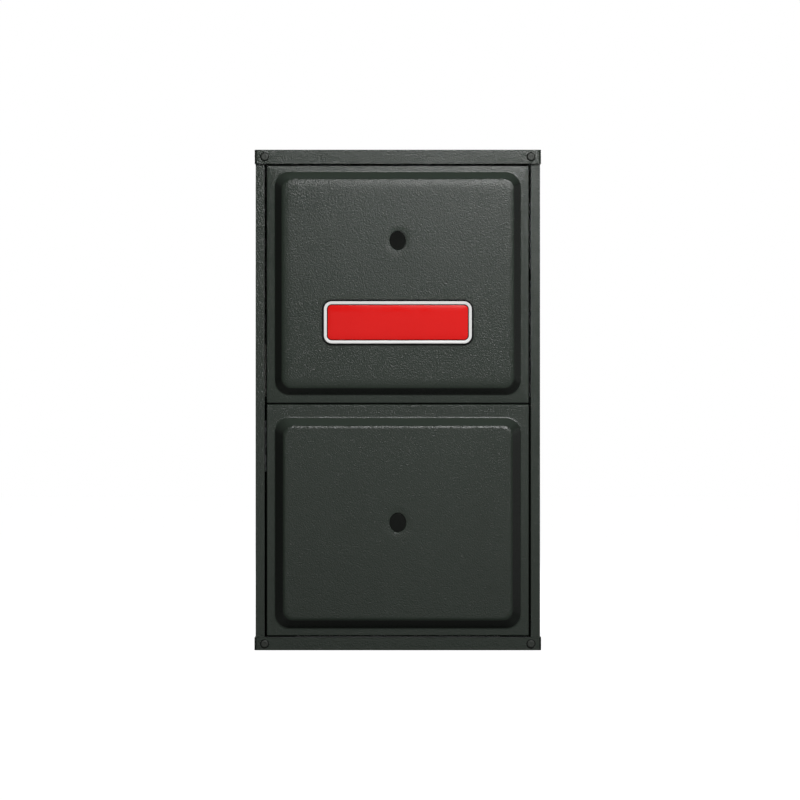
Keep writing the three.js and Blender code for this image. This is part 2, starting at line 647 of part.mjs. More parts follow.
// A door: a shallow tray of sheet with one pressed panel and one sight hole. The origin is at the middle of its
// bottom edge, in the plane of its rim's face.
function doorShape(height, topRim, bottomRim, sightZ) {
  const panelWidth = DOOR_WIDTH - 2 * EMBOSS_SIDE_RIM;
  const panelHeight = height - topRim - bottomRim;
  const panelZ = bottomRim + panelHeight / 2;
  const tray = prism('y', roundedOutline(DOOR_WIDTH, height, DOOR_CORNER), [0, DOOR_RETURN])
    .subtract(prism('y', roundedOutline(DOOR_WIDTH - 2 * SHEET, height - 2 * SHEET, DOOR_CORNER - SHEET),
      [SHEET, DOOR_RETURN + 1]))
    .translate([0, 0, height / 2]);
  const raised = loft([
    ...raisedLevels(panelWidth, panelHeight, 0, 0),
    ...raisedLevels(panelWidth, panelHeight, 0, SHEET / 2).slice(-1),
  ]).translate([0, 0, panelZ]);
  const hollow = loft([
    ...raisedLevels(panelWidth, panelHeight, SHEET, SHEET),
    ...raisedLevels(panelWidth, panelHeight, SHEET, SHEET + 1).slice(-1),
  ]).translate([0, 0, panelZ]);
  const sight = prism('y', ovalOutline(SIGHT_WIDTH, SIGHT_HEIGHT), [-EMBOSS_DEPTH - 1, SHEET + 1])
    .translate([0, 0, sightZ]);
  return tray.add(raised).subtract(hollow).subtract(sight);
}

// A dark lens pushed into the sight hole from behind, held by a wider flange.
function sightGlassShape() {
  const inside = -EMBOSS_DEPTH + SHEET + FIT;
  const flangeWidth = SIGHT_WIDTH + 2 * SIGHT_FLANGE;
  const flangeHeight = SIGHT_HEIGHT + 2 * SIGHT_FLANGE;
  const lens = prism('y', ovalOutline(SIGHT_WIDTH - 2 * FIT, SIGHT_HEIGHT - 2 * FIT), [inside - SHEET, inside + 1]);
  return lens.add(prism('y', ovalOutline(flangeWidth, flangeHeight), [inside, inside + SIGHT_THICK]));
}

function badgeShape() {
  const front = -EMBOSS_DEPTH - FIT - BADGE_THICK;
  const plate = roundedOutline(BADGE_WIDTH, BADGE_HEIGHT, BADGE_CORNER);
  const field = roundedOutline(BADGE_WIDTH - 2 * BADGE_RIM, BADGE_HEIGHT - 2 * BADGE_RIM, BADGE_CORNER - BADGE_RIM);
  return prism('y', plate, [front, front + BADGE_THICK])
    .subtract(prism('y', field, [front - 1, front + BADGE_RECESS]));
}

function upperDoor() {
  const sightZ = UPPER_DOOR_HEIGHT - UPPER_SIGHT_DROP;
  const glass = piece('upper_sight_glass', sightGlassShape(), DARK_GLASS);
  glass.position.z = sightZ;
  const badge = piece('badge_plate', badgeShape(), BADGE_RED);
  badge.position.z = UPPER_DOOR_HEIGHT - BADGE_DROP;
  const door = piece('upper_door', doorShape(UPPER_DOOR_HEIGHT, UPPER_RIM, UPPER_RIM, sightZ), POWDER_COAT);
  return assembly([0, FACE_Y, UPPER_DOOR_Z], [door, glass, badge]);
}

function lowerDoor() {
  const glass = piece('lower_sight_glass', sightGlassShape(), DARK_GLASS);
  glass.position.z = LOWER_SIGHT_RISE;
  const shape = doorShape(LOWER_DOOR_HEIGHT, LOWER_TOP_RIM, LOWER_BOTTOM_RIM, LOWER_SIGHT_RISE);
  return assembly([0, FACE_Y, LOWER_DOOR_Z], [piece('lower_door', shape, POWDER_COAT), glass]);
}

// ---------------------------------------------------------------- heat exchanger

// One primary tube: in at the burner, back and forth three times, down into the rear header.
function primaryTubeShape() {
  const rear = HEADER_Y + HEADER_DEPTH / 2 - TUBE_RADIUS;
  const front = VESTIBULE_Y + SHEET + TUBE_FRONT_GAP + TUBE_RADIUS;
  return pipe([
    [0, VESTIBULE_Y, BURNER_Z],
    [0, rear, BURNER_Z],
    [0, rear, BURNER_Z - 2 * TUBE_BEND],
    [0, front, BURNER_Z - 2 * TUBE_BEND],
    [0, front, LOW_PASS_Z],
    [0, HEADER_Y + SHEET, LOW_PASS_Z],
  ], TUBE_BEND, TUBE_RADIUS, TUBE_RADIUS - TUBE_WALL);
}

// The box at the back that turns the flue gas down from the tubes into the coil.
function rearHeaderShape() {
  const box = shell([-COIL_HALF - 2, COIL_HALF + 2], [HEADER_Y, HEADER_Y + HEADER_DEPTH],
    [COIL_Z - 4, LOW_PASS_Z + TUBE_RADIUS + HEADER_MARGIN], SHEET);
  const span = [HEADER_Y - 1, HEADER_Y + SHEET + 1];
  const cutters = TUBE_XS.map((x) => bore('y', TUBE_RADIUS + FIT, span).translate([x, 0, LOW_PASS_Z]));
  cutters.push(block([-COIL_HALF + 8, COIL_HALF - 8], span, [COIL_Z + 8, COIL_TOP_Z - 8]));
  return cutters.reduce((cut, hole) => cut.subtract(hole), box);
}

// The condensing coil: a finned block between two end plates.
function secondaryCoilShape() {
  const from = VESTIBULE_Y + SHEET + FIT;
  const to = from + COIL_LENGTH;
  const count = Math.floor((COIL_LENGTH - 2 * COIL_END) / COIL_FIN_PITCH);
  const first = (from + to - (count - 1) * COIL_FIN_PITCH) / 2;
  const top = [[from, COIL_TOP_Z], [from + COIL_END, COIL_TOP_Z]];
  const bottom = [[from, COIL_Z], [from + COIL_END, COIL_Z]];
  for (let i = 1; i + 1 < count; i += 1) {
    const y = first + i * COIL_FIN_PITCH;
    const tooth = (edge, root) => [[y - COIL_FIN / 2, root], [y - COIL_FIN / 2, edge], [y + COIL_FIN / 2, edge],
      [y + COIL_FIN / 2, root]];
    if (i === 1) {
      top.push([from + COIL_END, COIL_TOP_Z - COIL_FIN_DEPTH]);
      bottom.push([from + COIL_END, COIL_Z + COIL_FIN_DEPTH]);
    }
    top.push(...tooth(COIL_TOP_Z, COIL_TOP_Z - COIL_FIN_DEPTH));
    bottom.push(...tooth(COIL_Z, COIL_Z + COIL_FIN_DEPTH));
  }
  top.push([to - COIL_END, COIL_TOP_Z - COIL_FIN_DEPTH], [to - COIL_END, COIL_TOP_Z], [to, COIL_TOP_Z]);
  bottom.push([to - COIL_END, COIL_Z + COIL_FIN_DEPTH], [to - COIL_END, COIL_Z], [to, COIL_Z]);
  return prism('x', [...bottom, ...top.reverse()], [-COIL_HALF, COIL_HALF]);
}

// The plastic box in front of the coil that gathers the cooled flue gas for the inducer.
function collectorBoxShape() {
  const back = COLLECTOR_BACK_Y;
  const across = [-COLLECTOR_LEFT, COLLECTOR_RIGHT];
  const tall = [COLLECTOR_Z, COLLECTOR_Z + COLLECTOR_HEIGHT];
  const inside = ([from, to]) => [from + COLLECTOR_WALL, to - COLLECTOR_WALL];
  const ribs = [0.25, 0.5, 0.75].map((share) => {
    const x = -COLLECTOR_LEFT + share * (INDUCER_X - INDUCER_TONGUE - INDUCER_OUTLET + COLLECTOR_LEFT);
    return block([x - 1.5, x + 1.5], [COLLECTOR_Y - 3, COLLECTOR_Y + 1], [tall[0] + 12, PRESSURE_Z - 30]);
  });
  const pan = block(across, [COLLECTOR_Y, back], tall)
    .subtract(block(inside(across), [COLLECTOR_Y + COLLECTOR_WALL, back + 1], inside(tall)));
  const eye = bore('y', INDUCER_EYE, [COLLECTOR_Y - 1, COLLECTOR_Y + COLLECTOR_WALL + 1], 20)
    .translate([INDUCER_X, 0, INDUCER_Z]);
  const drain = rod('x', DRAIN_RADIUS - 2, [-COLLECTOR_LEFT - 10, -COLLECTOR_LEFT + 1])
    .translate([0, drainY(), drainZ()]);
  const nipple = rod('y', NIPPLE_RADIUS, [COLLECTOR_Y - 8, COLLECTOR_Y + 1], 12)
    .translate([-COLLECTOR_LEFT + 14, 0, PRESSURE_Z]);
  return join([pan, ...ribs, drain, nipple]).subtract(eye);
}

function drainY() {
  return COLLECTOR_BACK_Y - COLLECTOR_DEPTH / 2;
}

function drainZ() {
  return COLLECTOR_Z + DRAIN_RADIUS + 8;
}

// ---------------------------------------------------------------- burners and gas train

function burnerBoxShape() {
  const box = shell([-BURNER_BOX_HALF, BURNER_BOX_HALF], [BURNER_BOX_Y, BURNER_BOX_BACK_Y],
    [BURNER_Z - BURNER_BOX_BELOW, BURNER_BOX_TOP_Z], SHEET);
  const front = [BURNER_BOX_Y - 1, BURNER_BOX_Y + SHEET + 1];
  const rear = [BURNER_BOX_BACK_Y - SHEET - 1, BURNER_BOX_BACK_Y + 1];
  const cutters = TUBE_XS.flatMap((x) => [
    bore('y', SPUD_RADIUS + FIT, front).translate([x, 0, BURNER_Z]),
    bore('y', BURNER_MOUTH + 2, rear).translate([x, 0, BURNER_Z]),
  ]);
  [TUBE_XS[0], TUBE_XS[3]].forEach((x) => {
    cutters.push(bore('y', ignitionBody() + FIT, front).translate([x, 0, ignitionZ()]));
  });
  cutters.push(bore('y', 9, front).translate([0, 0, ignitionZ()]));
  cutters.push(bore('z', VENT_RADIUS - VENT_WALL, [BURNER_BOX_TOP_Z - 2 * SHEET, BURNER_BOX_TOP_Z + 1], 24)
    .translate([AIR_PIPE_X, VENT_Y, 0]));
  return cutters.reduce((cut, hole) => cut.subtract(hole), box);
}

// An in-shot burner: a flared tube that narrows at its throat. Its flange stands on the box's rear wall.
function burnerShape() {
  const back = BURNER_BOX_BACK_Y - SHEET - FIT;
  const front = back - BURNER_LENGTH;
  const wall = BURNER_WALL;
  return turned('y', [
    [BURNER_MOUTH - wall, front],
    [BURNER_MOUTH, front],
    [BURNER_THROAT + wall, front + 0.3 * BURNER_LENGTH],
    [BURNER_MOUTH, front + 0.75 * BURNER_LENGTH],
    [BURNER_MOUTH, back - 2],
    [BURNER_FLANGE, back - 2],
    [BURNER_FLANGE, back],
    [BURNER_MOUTH - wall, back],
    [BURNER_MOUTH - wall, front + 0.75 * BURNER_LENGTH],
    [BURNER_THROAT, front + 0.3 * BURNER_LENGTH],
    [BURNER_MOUTH - wall, front],
  ], 12).translate([0, 0, BURNER_Z]);
}

function ignitionBody() {
  return 7;
}

function ignitionZ() {
  return BURNER_Z - BURNER_BOX_BELOW + SHEET + 10;
}

// The igniter and the flame sensor share a form: mounting plate, ceramic body and a rod under the burner.
function ignitionRodShape(rodRadius) {
  const seat = BURNER_BOX_Y - FIT;
  return join([
    block([-14, 14], [seat - 1.5, seat], [-9, 9]),
    rod('y', ignitionBody(), [seat - 16, BURNER_BOX_Y + 14], 12),
    rod('y', rodRadius, [BURNER_BOX_Y + 10, BURNER_BOX_Y + IGNITER_LENGTH], 8),
  ]).translate([0, 0, ignitionZ()]);
}

function gasManifoldShape() {
  const end = TUBE_XS[3] + 22;
  const start = VALVE_X + VALVE_WIDTH + FIT;
  const spuds = TUBE_XS.map((x) => rod('y', SPUD_RADIUS, [MANIFOLD_Y, BURNER_BOX_Y + 4], 12)
    .translate([x, 0, BURNER_Z]));
  const bar = rod('x', GAS_PIPE_RADIUS, [start, end]).translate([0, MANIFOLD_Y, BURNER_Z]);
  const bosses = TUBE_XS.map((x) => rod('y', SPUD_RADIUS + 3, [MANIFOLD_Y, MANIFOLD_Y + GAS_PIPE_RADIUS + 7], 6)
    .translate([x, 0, BURNER_Z]));
  return join([bar, ...bosses, ...spuds]);
}

function gasValveShape() {
  const across = [VALVE_X, VALVE_X + VALVE_WIDTH];
  const deep = [VALVE_FRONT_Y, VALVE_FRONT_Y + VALVE_DEPTH];
  const bottom = BURNER_Z - VALVE_HEIGHT / 2;
  const top = BURNER_Z + VALVE_HEIGHT / 2;
  const body = block(across, deep, [bottom, top]);
  const cover = block([across[0] + 6, across[1] - 6], [deep[0] + 5, deep[1] - 18], [top - 1, top + VALVE_COVER]);
  const regulator = rod('y', 9, [deep[0] - 7, deep[0] + 1], 12).translate([across[1] - 15, 0, bottom + 14]);
  const stemHole = bore('y', KNOB_STEM + FIT, [deep[0] - 1, deep[0] + KNOB_STEM_DEPTH + FIT], 12)
    .translate([VALVE_X + VALVE_WIDTH / 2 - 8, 0, BURNER_Z + 10]);
  return join([body, cover, regulator]).subtract(stemHole);
}

function gasValveKnobShape() {
  const face = -FIT - KNOB_HEIGHT;
  const dial = turned('y', [[0, face], [KNOB_RADIUS - 1.5, face], [KNOB_RADIUS, face + 1.5], [KNOB_RADIUS, -FIT],
    [0, -FIT]], 20);
  const stem = rod('y', KNOB_STEM, [-FIT - 1, KNOB_STEM_DEPTH], 12);
  const grip = block([-3, 3], [face - 5, face + 1], [-KNOB_RADIUS + 1.5, KNOB_RADIUS - 1.5]);
  return join([dial, stem, grip]);
}

function gasInletPipeShape() {
  return ring('x', GAS_PIPE_RADIUS, GAS_PIPE_RADIUS - 2.5, [-SIDE_X, VALVE_X - FIT]);
}

// The two heat switches share a round can with mounting ears. Its axis is along Z and its seat at the origin.
function switchCan(height) {
  return block([-SWITCH_RADIUS - 8, SWITCH_RADIUS + 8], [-5, 5], [FIT, FIT + SHEET])
    .add(rod('z', SWITCH_RADIUS, [FIT, height]));
}

function limitSwitchShape() {
  return switchCan(SWITCH_HEIGHT + FIT).add(rod('z', SWITCH_RADIUS - 5, [-6, FIT + 1], 12));
}

function rolloutSwitchShape() {
  const terminals = [-1, 1].map((side) => block([side * 8 - 2, side * 8 + 2], [-1, 1],
    [SWITCH_HEIGHT - 1, SWITCH_HEIGHT + 7]));
  return join([switchCan(SWITCH_HEIGHT), ...terminals])
    .subtract(bore('z', BUTTON_RADIUS + FIT, [SWITCH_HEIGHT - 7, SWITCH_HEIGHT + 1], 12));
}

function rolloutButtonShape() {
  return turned('z', [[0, SWITCH_HEIGHT - 4], [BUTTON_RADIUS, SWITCH_HEIGHT - 4],
    [BUTTON_RADIUS, SWITCH_HEIGHT + BUTTON_RISE - 1], [BUTTON_RADIUS - 1, SWITCH_HEIGHT + BUTTON_RISE],
    [0, SWITCH_HEIGHT + BUTTON_RISE]], 12);
}

function limitSwitchZ() {
  return PRESSURE_Z + DIAPHRAGM_RADIUS + SWITCH_RADIUS + 30;
}

// ---------------------------------------------------------------- draft inducer, vent and combustion air

function inducerTongueAngle() {
  return THREE.MathUtils.radToDeg(Math.acos((INDUCER_FULL - INDUCER_OUTLET) / INDUCER_TONGUE));
}

// The inducer's scroll, its axis along Y through the origin and its back at y = 0.
function inducerHousingShape() {
  const angle = inducerTongueAngle();
  const wall = INDUCER_WALL;
  const outer = scrollOutline(INDUCER_TONGUE, INDUCER_FULL, angle, INDUCER_TOP, wall, 20);
  const inner = scrollOutline(INDUCER_TONGUE, INDUCER_FULL, angle, INDUCER_TOP + 1, 0, 20);
  const outletX = INDUCER_FULL - INDUCER_OUTLET / 2;
  const socketTop = INDUCER_TOP + VENT_SOCKET;
  const middle = -INDUCER_DEPTH / 2;
  const socket = turned('z', [[0, INDUCER_TOP - 2], [VENT_RADIUS + 4, INDUCER_TOP - 2], [VENT_RADIUS + 4, socketTop],
    [0, socketTop]], 20).translate([outletX, middle, 0]);
  const seat = bore('z', VENT_RADIUS + FIT, [INDUCER_TOP + 2, socketTop + 1], 20).translate([outletX, middle, 0]);
  const throat = bore('z', VENT_RADIUS - VENT_WALL - 3, [INDUCER_TOP - 6, socketTop], 20)
    .translate([outletX, middle, 0]);
  return prism('y', outer, [-INDUCER_DEPTH, 0])
    .subtract(prism('y', inner, [-INDUCER_DEPTH + wall, -wall]))
    .add(socket)
    .subtract(seat)
    .subtract(throat)
    .subtract(bore('y', INDUCER_EYE, [-wall - 1, 1], 20))
    .subtract(bore('y', INDUCER_SHAFT + 2, [-INDUCER_DEPTH - 1, -INDUCER_DEPTH + wall + 1]));
}

// The inducer wheel: a disc with radial blades, and a hub bored for the shaft.
function inducerWheelShape() {
  const disc = -INDUCER_DEPTH + INDUCER_WALL + 5;
  const blades = Array.from({ length: INDUCER_BLADES }, (_, i) => block([16, INDUCER_WHEEL - 1],
    [disc + 1, disc + INDUCER_BLADE], [-0.9, 0.9]).rotate([0, (i * 360) / INDUCER_BLADES, 0]));
  return join([
    rod('y', INDUCER_WHEEL, [disc, disc + 2.4], 24),
    rod('y', 2.5 * INDUCER_SHAFT, [disc, disc + 18]),
    ...blades,
  ]).subtract(bore('y', INDUCER_SHAFT + FIT, [disc - 1, disc + 20]));
}

function inducerShaftShape() {
  const tip = -INDUCER_DEPTH + INDUCER_WALL + 5 + 18;
  return rod('y', INDUCER_SHAFT, [-INDUCER_DEPTH - 12, tip]);
}

// The inducer motor: a ribbed can on a foot that stands on the housing's front.
function inducerMotorShape() {
  const seat = -INDUCER_DEPTH - FIT;
  const end = seat - INDUCER_MOTOR_LENGTH;
  const r = INDUCER_MOTOR;
  const can = turned('y', [
    [0, end],
    [0.45 * r, end],
    [0.5 * r, end + 6],
    [0.86 * r, end + 9],
    [0.92 * r, end + 14],
    [0.92 * r, end + 24],
    [r, end + 25],
    [r, end + 44],
    [0.92 * r, end + 45],
    [0.92 * r, seat - 6],
    [1.1 * r, seat - 5],
    [1.1 * r, seat],
    [0, seat],
  ], 20);
  return can.subtract(bore('y', INDUCER_SHAFT + FIT, [seat - 12 - 2 * FIT, seat + 1]));
}

function ventPipeShape() {
  return ring('z', VENT_RADIUS, VENT_RADIUS - VENT_WALL, [INDUCER_Z + INDUCER_TOP + 2 + FIT, PIPE_TOP_Z], 20)
    .translate([VENT_X, VENT_Y, 0]);
}

function airIntakePipeShape() {
  const seat = BURNER_BOX_TOP_Z + FIT;
  const inner = VENT_RADIUS - VENT_WALL;
  return turned('z', [[inner, seat], [AIR_PIPE_FLANGE, seat], [AIR_PIPE_FLANGE, seat + 3], [VENT_RADIUS, seat + 3],
    [VENT_RADIUS, PIPE_TOP_Z], [inner, PIPE_TOP_Z], [inner, seat]], 20).translate([AIR_PIPE_X, VENT_Y, 0]);
}

// The air-proving switch: a diaphragm can with a foot on the vestibule panel and a nipple in front.
function pressureSwitchShape() {
  const seat = VESTIBULE_Y - FIT;
  const front = seat - DIAPHRAGM_DEPTH;
  const r = DIAPHRAGM_RADIUS;
  return join([
    turned('y', [[0, front], [r - 7, front], [r - 4, front + 7], [r, front + 8], [r, front + 13], [r - 4, front + 14],
      [r - 6, seat], [0, seat]], 20),
    rod('y', NIPPLE_RADIUS, [front - 10, front + 1], 12),
    block([-9, 9], [front - 5, front + 1], [10, 24]),
  ]).translate([PRESSURE_X, 0, PRESSURE_Z]);
}

function pressureHoseShape() {
  const start = VESTIBULE_Y - FIT - DIAPHRAGM_DEPTH - 10 - FIT;
  const end = COLLECTOR_Y - 8 - FIT;
  const loop = Math.min(start, end) - 26;
  return pipe([
    [PRESSURE_X, start, PRESSURE_Z],
    [PRESSURE_X, loop, PRESSURE_Z],
    [-COLLECTOR_LEFT + 14, loop, PRESSURE_Z],
    [-COLLECTOR_LEFT + 14, end, PRESSURE_Z],
  ], 16, HOSE_RADIUS, 0, 8, 4);
}

// ---------------------------------------------------------------- condensate drain

function trapSpan() {
  return [-INNER_X + 4, -INNER_X + 4 + TRAP_WIDTH];
}

function trapDeep() {
  return [DECK_FRONT_Y + 10, DECK_FRONT_Y + 10 + TRAP_DEPTH];
}

// The trap: a flat plastic box standing on the deck, with an inlet behind and an outlet through the left side.
function condensateTrapShape() {
  const [left, right] = trapSpan();
  const [front, back] = trapDeep();
  const bottom = DECK_Z + FIT;
  const top = bottom + TRAP_HEIGHT;
  const middle = (left + right) / 2;
  const inlet = rod('y', DRAIN_RADIUS - 2, [back - TRAP_WALL, back + 12]).translate([middle, 0, drainZ()]);
  const outlet = rod('x', DRAIN_RADIUS, [-SIDE_X, left + TRAP_WALL]).translate([0, trapDrainY(), trapDrainZ()]);
  const cap = block([left - 2, right + 2], [front - 2, back + 2], [top - 8, top]);
  const hollow = block([left + TRAP_WALL, right - TRAP_WALL], [front + TRAP_WALL, back - TRAP_WALL],
    [bottom + TRAP_WALL, top - TRAP_WALL]);
  const drainBore = bore('x', DRAIN_RADIUS - 3, [-RAIL_WIDTH, left + 2 * TRAP_WALL])
    .translate([0, trapDrainY(), trapDrainZ()]);
  const inletBore = bore('y', DRAIN_RADIUS - 5, [back - 2 * TRAP_WALL, back + 20]).translate([middle, 0, drainZ()]);
  return join([block([left, right], [front, back], [bottom, top]), cap])
    .subtract(hollow)
    .add(inlet)
    .add(outlet)
    .subtract(drainBore)
    .subtract(inletBore);
}

function trapDrainY() {
  return trapDeep()[0] + TRAP_DEPTH / 2;
}

function trapDrainZ() {
  return DECK_Z + 26;
}

function condensateHoseShape() {
  const [left, right] = trapSpan();
  const middle = (left + right) / 2;
  return pipe([
    [-COLLECTOR_LEFT - 10 - FIT, drainY(), drainZ()],
    [middle, drainY(), drainZ()],
    [middle, trapDeep()[1] + 12 + FIT, drainZ()],
  ], 22, DRAIN_RADIUS, DRAIN_RADIUS - 2.5, 10, 4);
}

// ---------------------------------------------------------------- blower

// The discharge opening, wider than the housing's inside by wall.
function blowerOutlet(wall) {
  const outline = scrollOutline(BLOWER_TONGUE, BLOWER_FULL, BLOWER_TONGUE_ANGLE, BLOWER_TOP, wall, 2);
  const [front, back] = [outline[0][0], BLOWER_FULL + wall];
  return {
    x: [-BLOWER_WIDTH / 2 - wall, BLOWER_WIDTH / 2 + wall],
    y: [BLOWER_Y + front, BLOWER_Y + back],
  };
}

// The scroll housing, open at the top and at both eyes, with a flange bolted up under the deck.
function blowerHousingShape() {
  const outline = (top, wall) => scrollOutline(BLOWER_TONGUE, BLOWER_FULL, BLOWER_TONGUE_ANGLE, top, wall, 24);
  const half = BLOWER_WIDTH / 2;
  const outlet = blowerOutlet(0);
  const wide = half + SHEET + BLOWER_FLANGE;
  const [front, back] = outlet.y.map((y) => y - BLOWER_Y);
  const flange = block([-wide, wide], [front - SHEET - BLOWER_FLANGE, back + SHEET + BLOWER_FLANGE],
    [BLOWER_TOP - SHEET, BLOWER_TOP])
    .subtract(block([-half, half], [front, back], [BLOWER_TOP - 2 * SHEET, BLOWER_TOP + 1]));
  return prism('x', outline(BLOWER_TOP, SHEET), [-half - SHEET, half + SHEET])
    .add(flange)
    .subtract(prism('x', outline(BLOWER_TOP + 1, 0), [-half, half]))
    .subtract(bore('x', BLOWER_EYE, [-half - 2 * SHEET, half + 2 * SHEET], 28));
}

// The double-inlet wheel: curved blades between two end rings, and a centre disc with the hub.
function blowerWheelShape() {
  const half = WHEEL_WIDTH / 2;
  const root = WHEEL_RADIUS - WHEEL_RING;
  const blade = [];
  for (let step = 0; step <= 2; step += 1) {
    const share = step / 2;
    blade.push([root + WHEEL_RING * share - 0.5, 9 * share * share]);
  }
  const outline = [...blade.map(([r, s]) => [r, s + 0.9]), ...blade.reverse().map(([r, s]) => [r, s - 0.9])];
  const one = prism('x', outline, [-half + 1, half - 1]);
  const blades = Array.from({ length: WHEEL_BLADES }, (_, i) => one.rotate([(i * 360) / WHEEL_BLADES, 0, 0]));
  return join([
    ring('x', WHEEL_RADIUS, root - 1, [-half, -half + 4], 28),
    ring('x', WHEEL_RADIUS, root - 1, [half - 4, half], 28),
    rod('x', root + 4, [-1.5, 1.5], 28),
    rod('x', WHEEL_HUB, [-WHEEL_HUB_LENGTH / 2, WHEEL_HUB_LENGTH / 2]),
    ...blades,
  ]).subtract(bore('x', BLOWER_SHAFT + FIT, [-WHEEL_HUB_LENGTH, WHEEL_HUB_LENGTH]));
}

function motorNose() {
  return WHEEL_HUB_LENGTH / 2 + 14;
}

function blowerShaftShape() {
  return rod('x', BLOWER_SHAFT, [-WHEEL_HUB_LENGTH / 2 - 6, motorNose() + MOTOR_SOCKET]);
}

function blowerMotorShape() {
  const nose = motorNose();
  const end = nose + MOTOR_LENGTH;
  const r = MOTOR_RADIUS;
  const can = turned('x', [
    [0, nose],
    [0.3 * r, nose],
    [0.35 * r, nose + 6],
    [0.9 * r, nose + 8],
    [r, nose + 14],
    [r, end - 14],
    [0.9 * r, end - 8],
    [0.3 * r, end - 6],
    [0.25 * r, end],
    [0, end],
  ], 24);
  return can.subtract(bore('x', BLOWER_SHAFT + FIT, [nose - 1, nose + MOTOR_SOCKET + FIT]));
}

// A band round the motor with three arms that rest on the housing's right side.
function motorMountShape() {
  const seat = BLOWER_WIDTH / 2 + SHEET + FIT;
  const arms = [90, 210, 330].map((angle) => block([seat, seat + 4], [-MOUNT_ARM / 2, MOUNT_ARM / 2],
    [MOTOR_RADIUS + BELLY_BAND / 2 + FIT, BLOWER_EYE + 16]).rotate([angle, 0, 0]));
  const inner = (MOTOR_RADIUS + FIT) / Math.cos(Math.PI / 24);
  return join([
    ring('x', inner + BELLY_BAND, inner, [seat, seat + BELLY_BAND_WIDTH], 24),
    ...arms,
  ]);
}

// ---------------------------------------------------------------- controls

function controlPlateShape() {
  const half = CONTROL_PLATE_WIDTH / 2;
  const top = DECK_Z - SHEET - FIT;
  const tall = [top - CONTROL_PLATE_HEIGHT, top];
  return join([
    block([-half, half], [CONTROL_Y, CONTROL_Y + SHEET], tall),
    block([-half, half], [CONTROL_Y - CONTROL_TOP_FLANGE, CONTROL_Y + SHEET], [top - SHEET, top]),
    block([-half, -half + SHEET], [CONTROL_Y - PANEL_FLANGE, CONTROL_Y + SHEET], tall),
    block([half - SHEET, half], [CONTROL_Y - PANEL_FLANGE, CONTROL_Y + SHEET], tall),
  ]);
}

// The board on its standoffs. Each component is given by its middle and its width and height, in shares of the
// board's, and by its rise, in shares of the tallest: three relays, the connectors, a fuse and the processor.
function controlBoardShape() {
  const seat = CONTROL_Y - FIT;
  const back = seat - BOARD_STANDOFF;
  const face = back - BOARD_THICK;
  const half = BOARD_WIDTH / 2;
  const tall = BOARD_HEIGHT / 2;
  const corners = [[-1, -1], [-1, 1], [1, -1], [1, 1]];
  const standoffs = corners.map(([side, up]) => rod('y', BOARD_STANDOFF / 2, [face + BOARD_THICK / 2, seat], 8)
    .translate([side * (half - BOARD_STANDOFF), 0, up * (tall - BOARD_STANDOFF)]));
  const mounted = [
    { x: -0.355, z: 0.293, width: 0.129, height: 0.187, rise: 0.9 },
    { x: -0.183, z: 0.293, width: 0.129, height: 0.187, rise: 0.9 },
    { x: 0.022, z: 0.307, width: 0.161, height: 0.147, rise: 1 },
    { x: 0.312, z: 0.32, width: 0.237, height: 0.093, rise: 0.6 },
    { x: -0.387, z: -0.04, width: 0.075, height: 0.333, rise: 0.55 },
    { x: 0.366, z: 0.013, width: 0.118, height: 0.293, rise: 0.75 },
    { x: -0.108, z: -0.373, width: 0.452, height: 0.08, rise: 0.6 },
    { x: 0.29, z: -0.36, width: 0.183, height: 0.107, rise: 0.45 },
    { x: 0, z: 0, width: 0.065, height: 0.08, rise: 0.45 },
    { x: -0.183, z: -0.093, width: 0.14, height: 0.173, rise: 0.2 },
  ].map(({ x, z, width, height, rise }) => block(
    [(x - width / 2) * BOARD_WIDTH, (x + width / 2) * BOARD_WIDTH],
    [face - rise * BOARD_TALLEST, face + BOARD_THICK / 2],
    [(z - height / 2) * BOARD_HEIGHT, (z + height / 2) * BOARD_HEIGHT],
  ));
  return join([block([-half, half], [face, back], [-tall, tall]), ...standoffs, ...mounted])
    .translate([0, 0, BOARD_Z]);
}

function transformerShape() {
  const { width, height, depth } = TRANSFORMER;
  const seat = CONTROL_Y - FIT;
  const z = BOARD_Z + BOARD_HEIGHT / 2 + 18;
  const x = -CONTROL_PLATE_WIDTH / 2 + TRANSFORMER_INSET;
  return join([
    block([x, x + width], [seat - depth, seat], [z + 8, z + height - 8]),
    block([x + 12, x + width - 12], [seat - depth - 6, seat - 4], [z, z + height]),
    block([x - 8, x + width + 8], [seat - 1.5, seat], [z + 14, z + height - 14]),
  ]);
}

function junctionSpan() {
  const y = FACE_Y + 40;
  const z = DECK_Z - SHEET - PANEL_FLANGE - 16 - JUNCTION.height;
  return { x: [-INNER_X, -INNER_X + JUNCTION.width], y: [y, y + JUNCTION.depth], z: [z, z + JUNCTION.height] };
}

function junctionKnockout() {
  const { y, z } = junctionSpan();
  return { y: (y[0] + y[1]) / 2, z: (z[0] + z[1]) / 2, radius: KNOCKOUT_RADIUS };
}

// A steel wiring box on the left side, with one knockout through the cabinet and one in its floor.
function junctionBoxShape() {
  const { x, y, z } = junctionSpan();
  const wall = bore('x', KNOCKOUT_RADIUS, [x[0] - 1, x[0] + SHEET + 1]).translate([0, junctionKnockout().y,
    junctionKnockout().z]);
  const floor = bore('z', KNOCKOUT_RADIUS, [z[0] - 1, z[0] + SHEET + 1])
    .translate([(x[0] + x[1]) / 2, junctionKnockout().y, 0]);
  return shell(x, y, z, SHEET).subtract(wall).subtract(floor);
}

function doorSwitchPlace() {
  return [DOOR_SWITCH_X, DECK_FRONT_Y + SHEET, DECK_Z - SHEET - FIT - DOOR_SWITCH.height / 2];
}

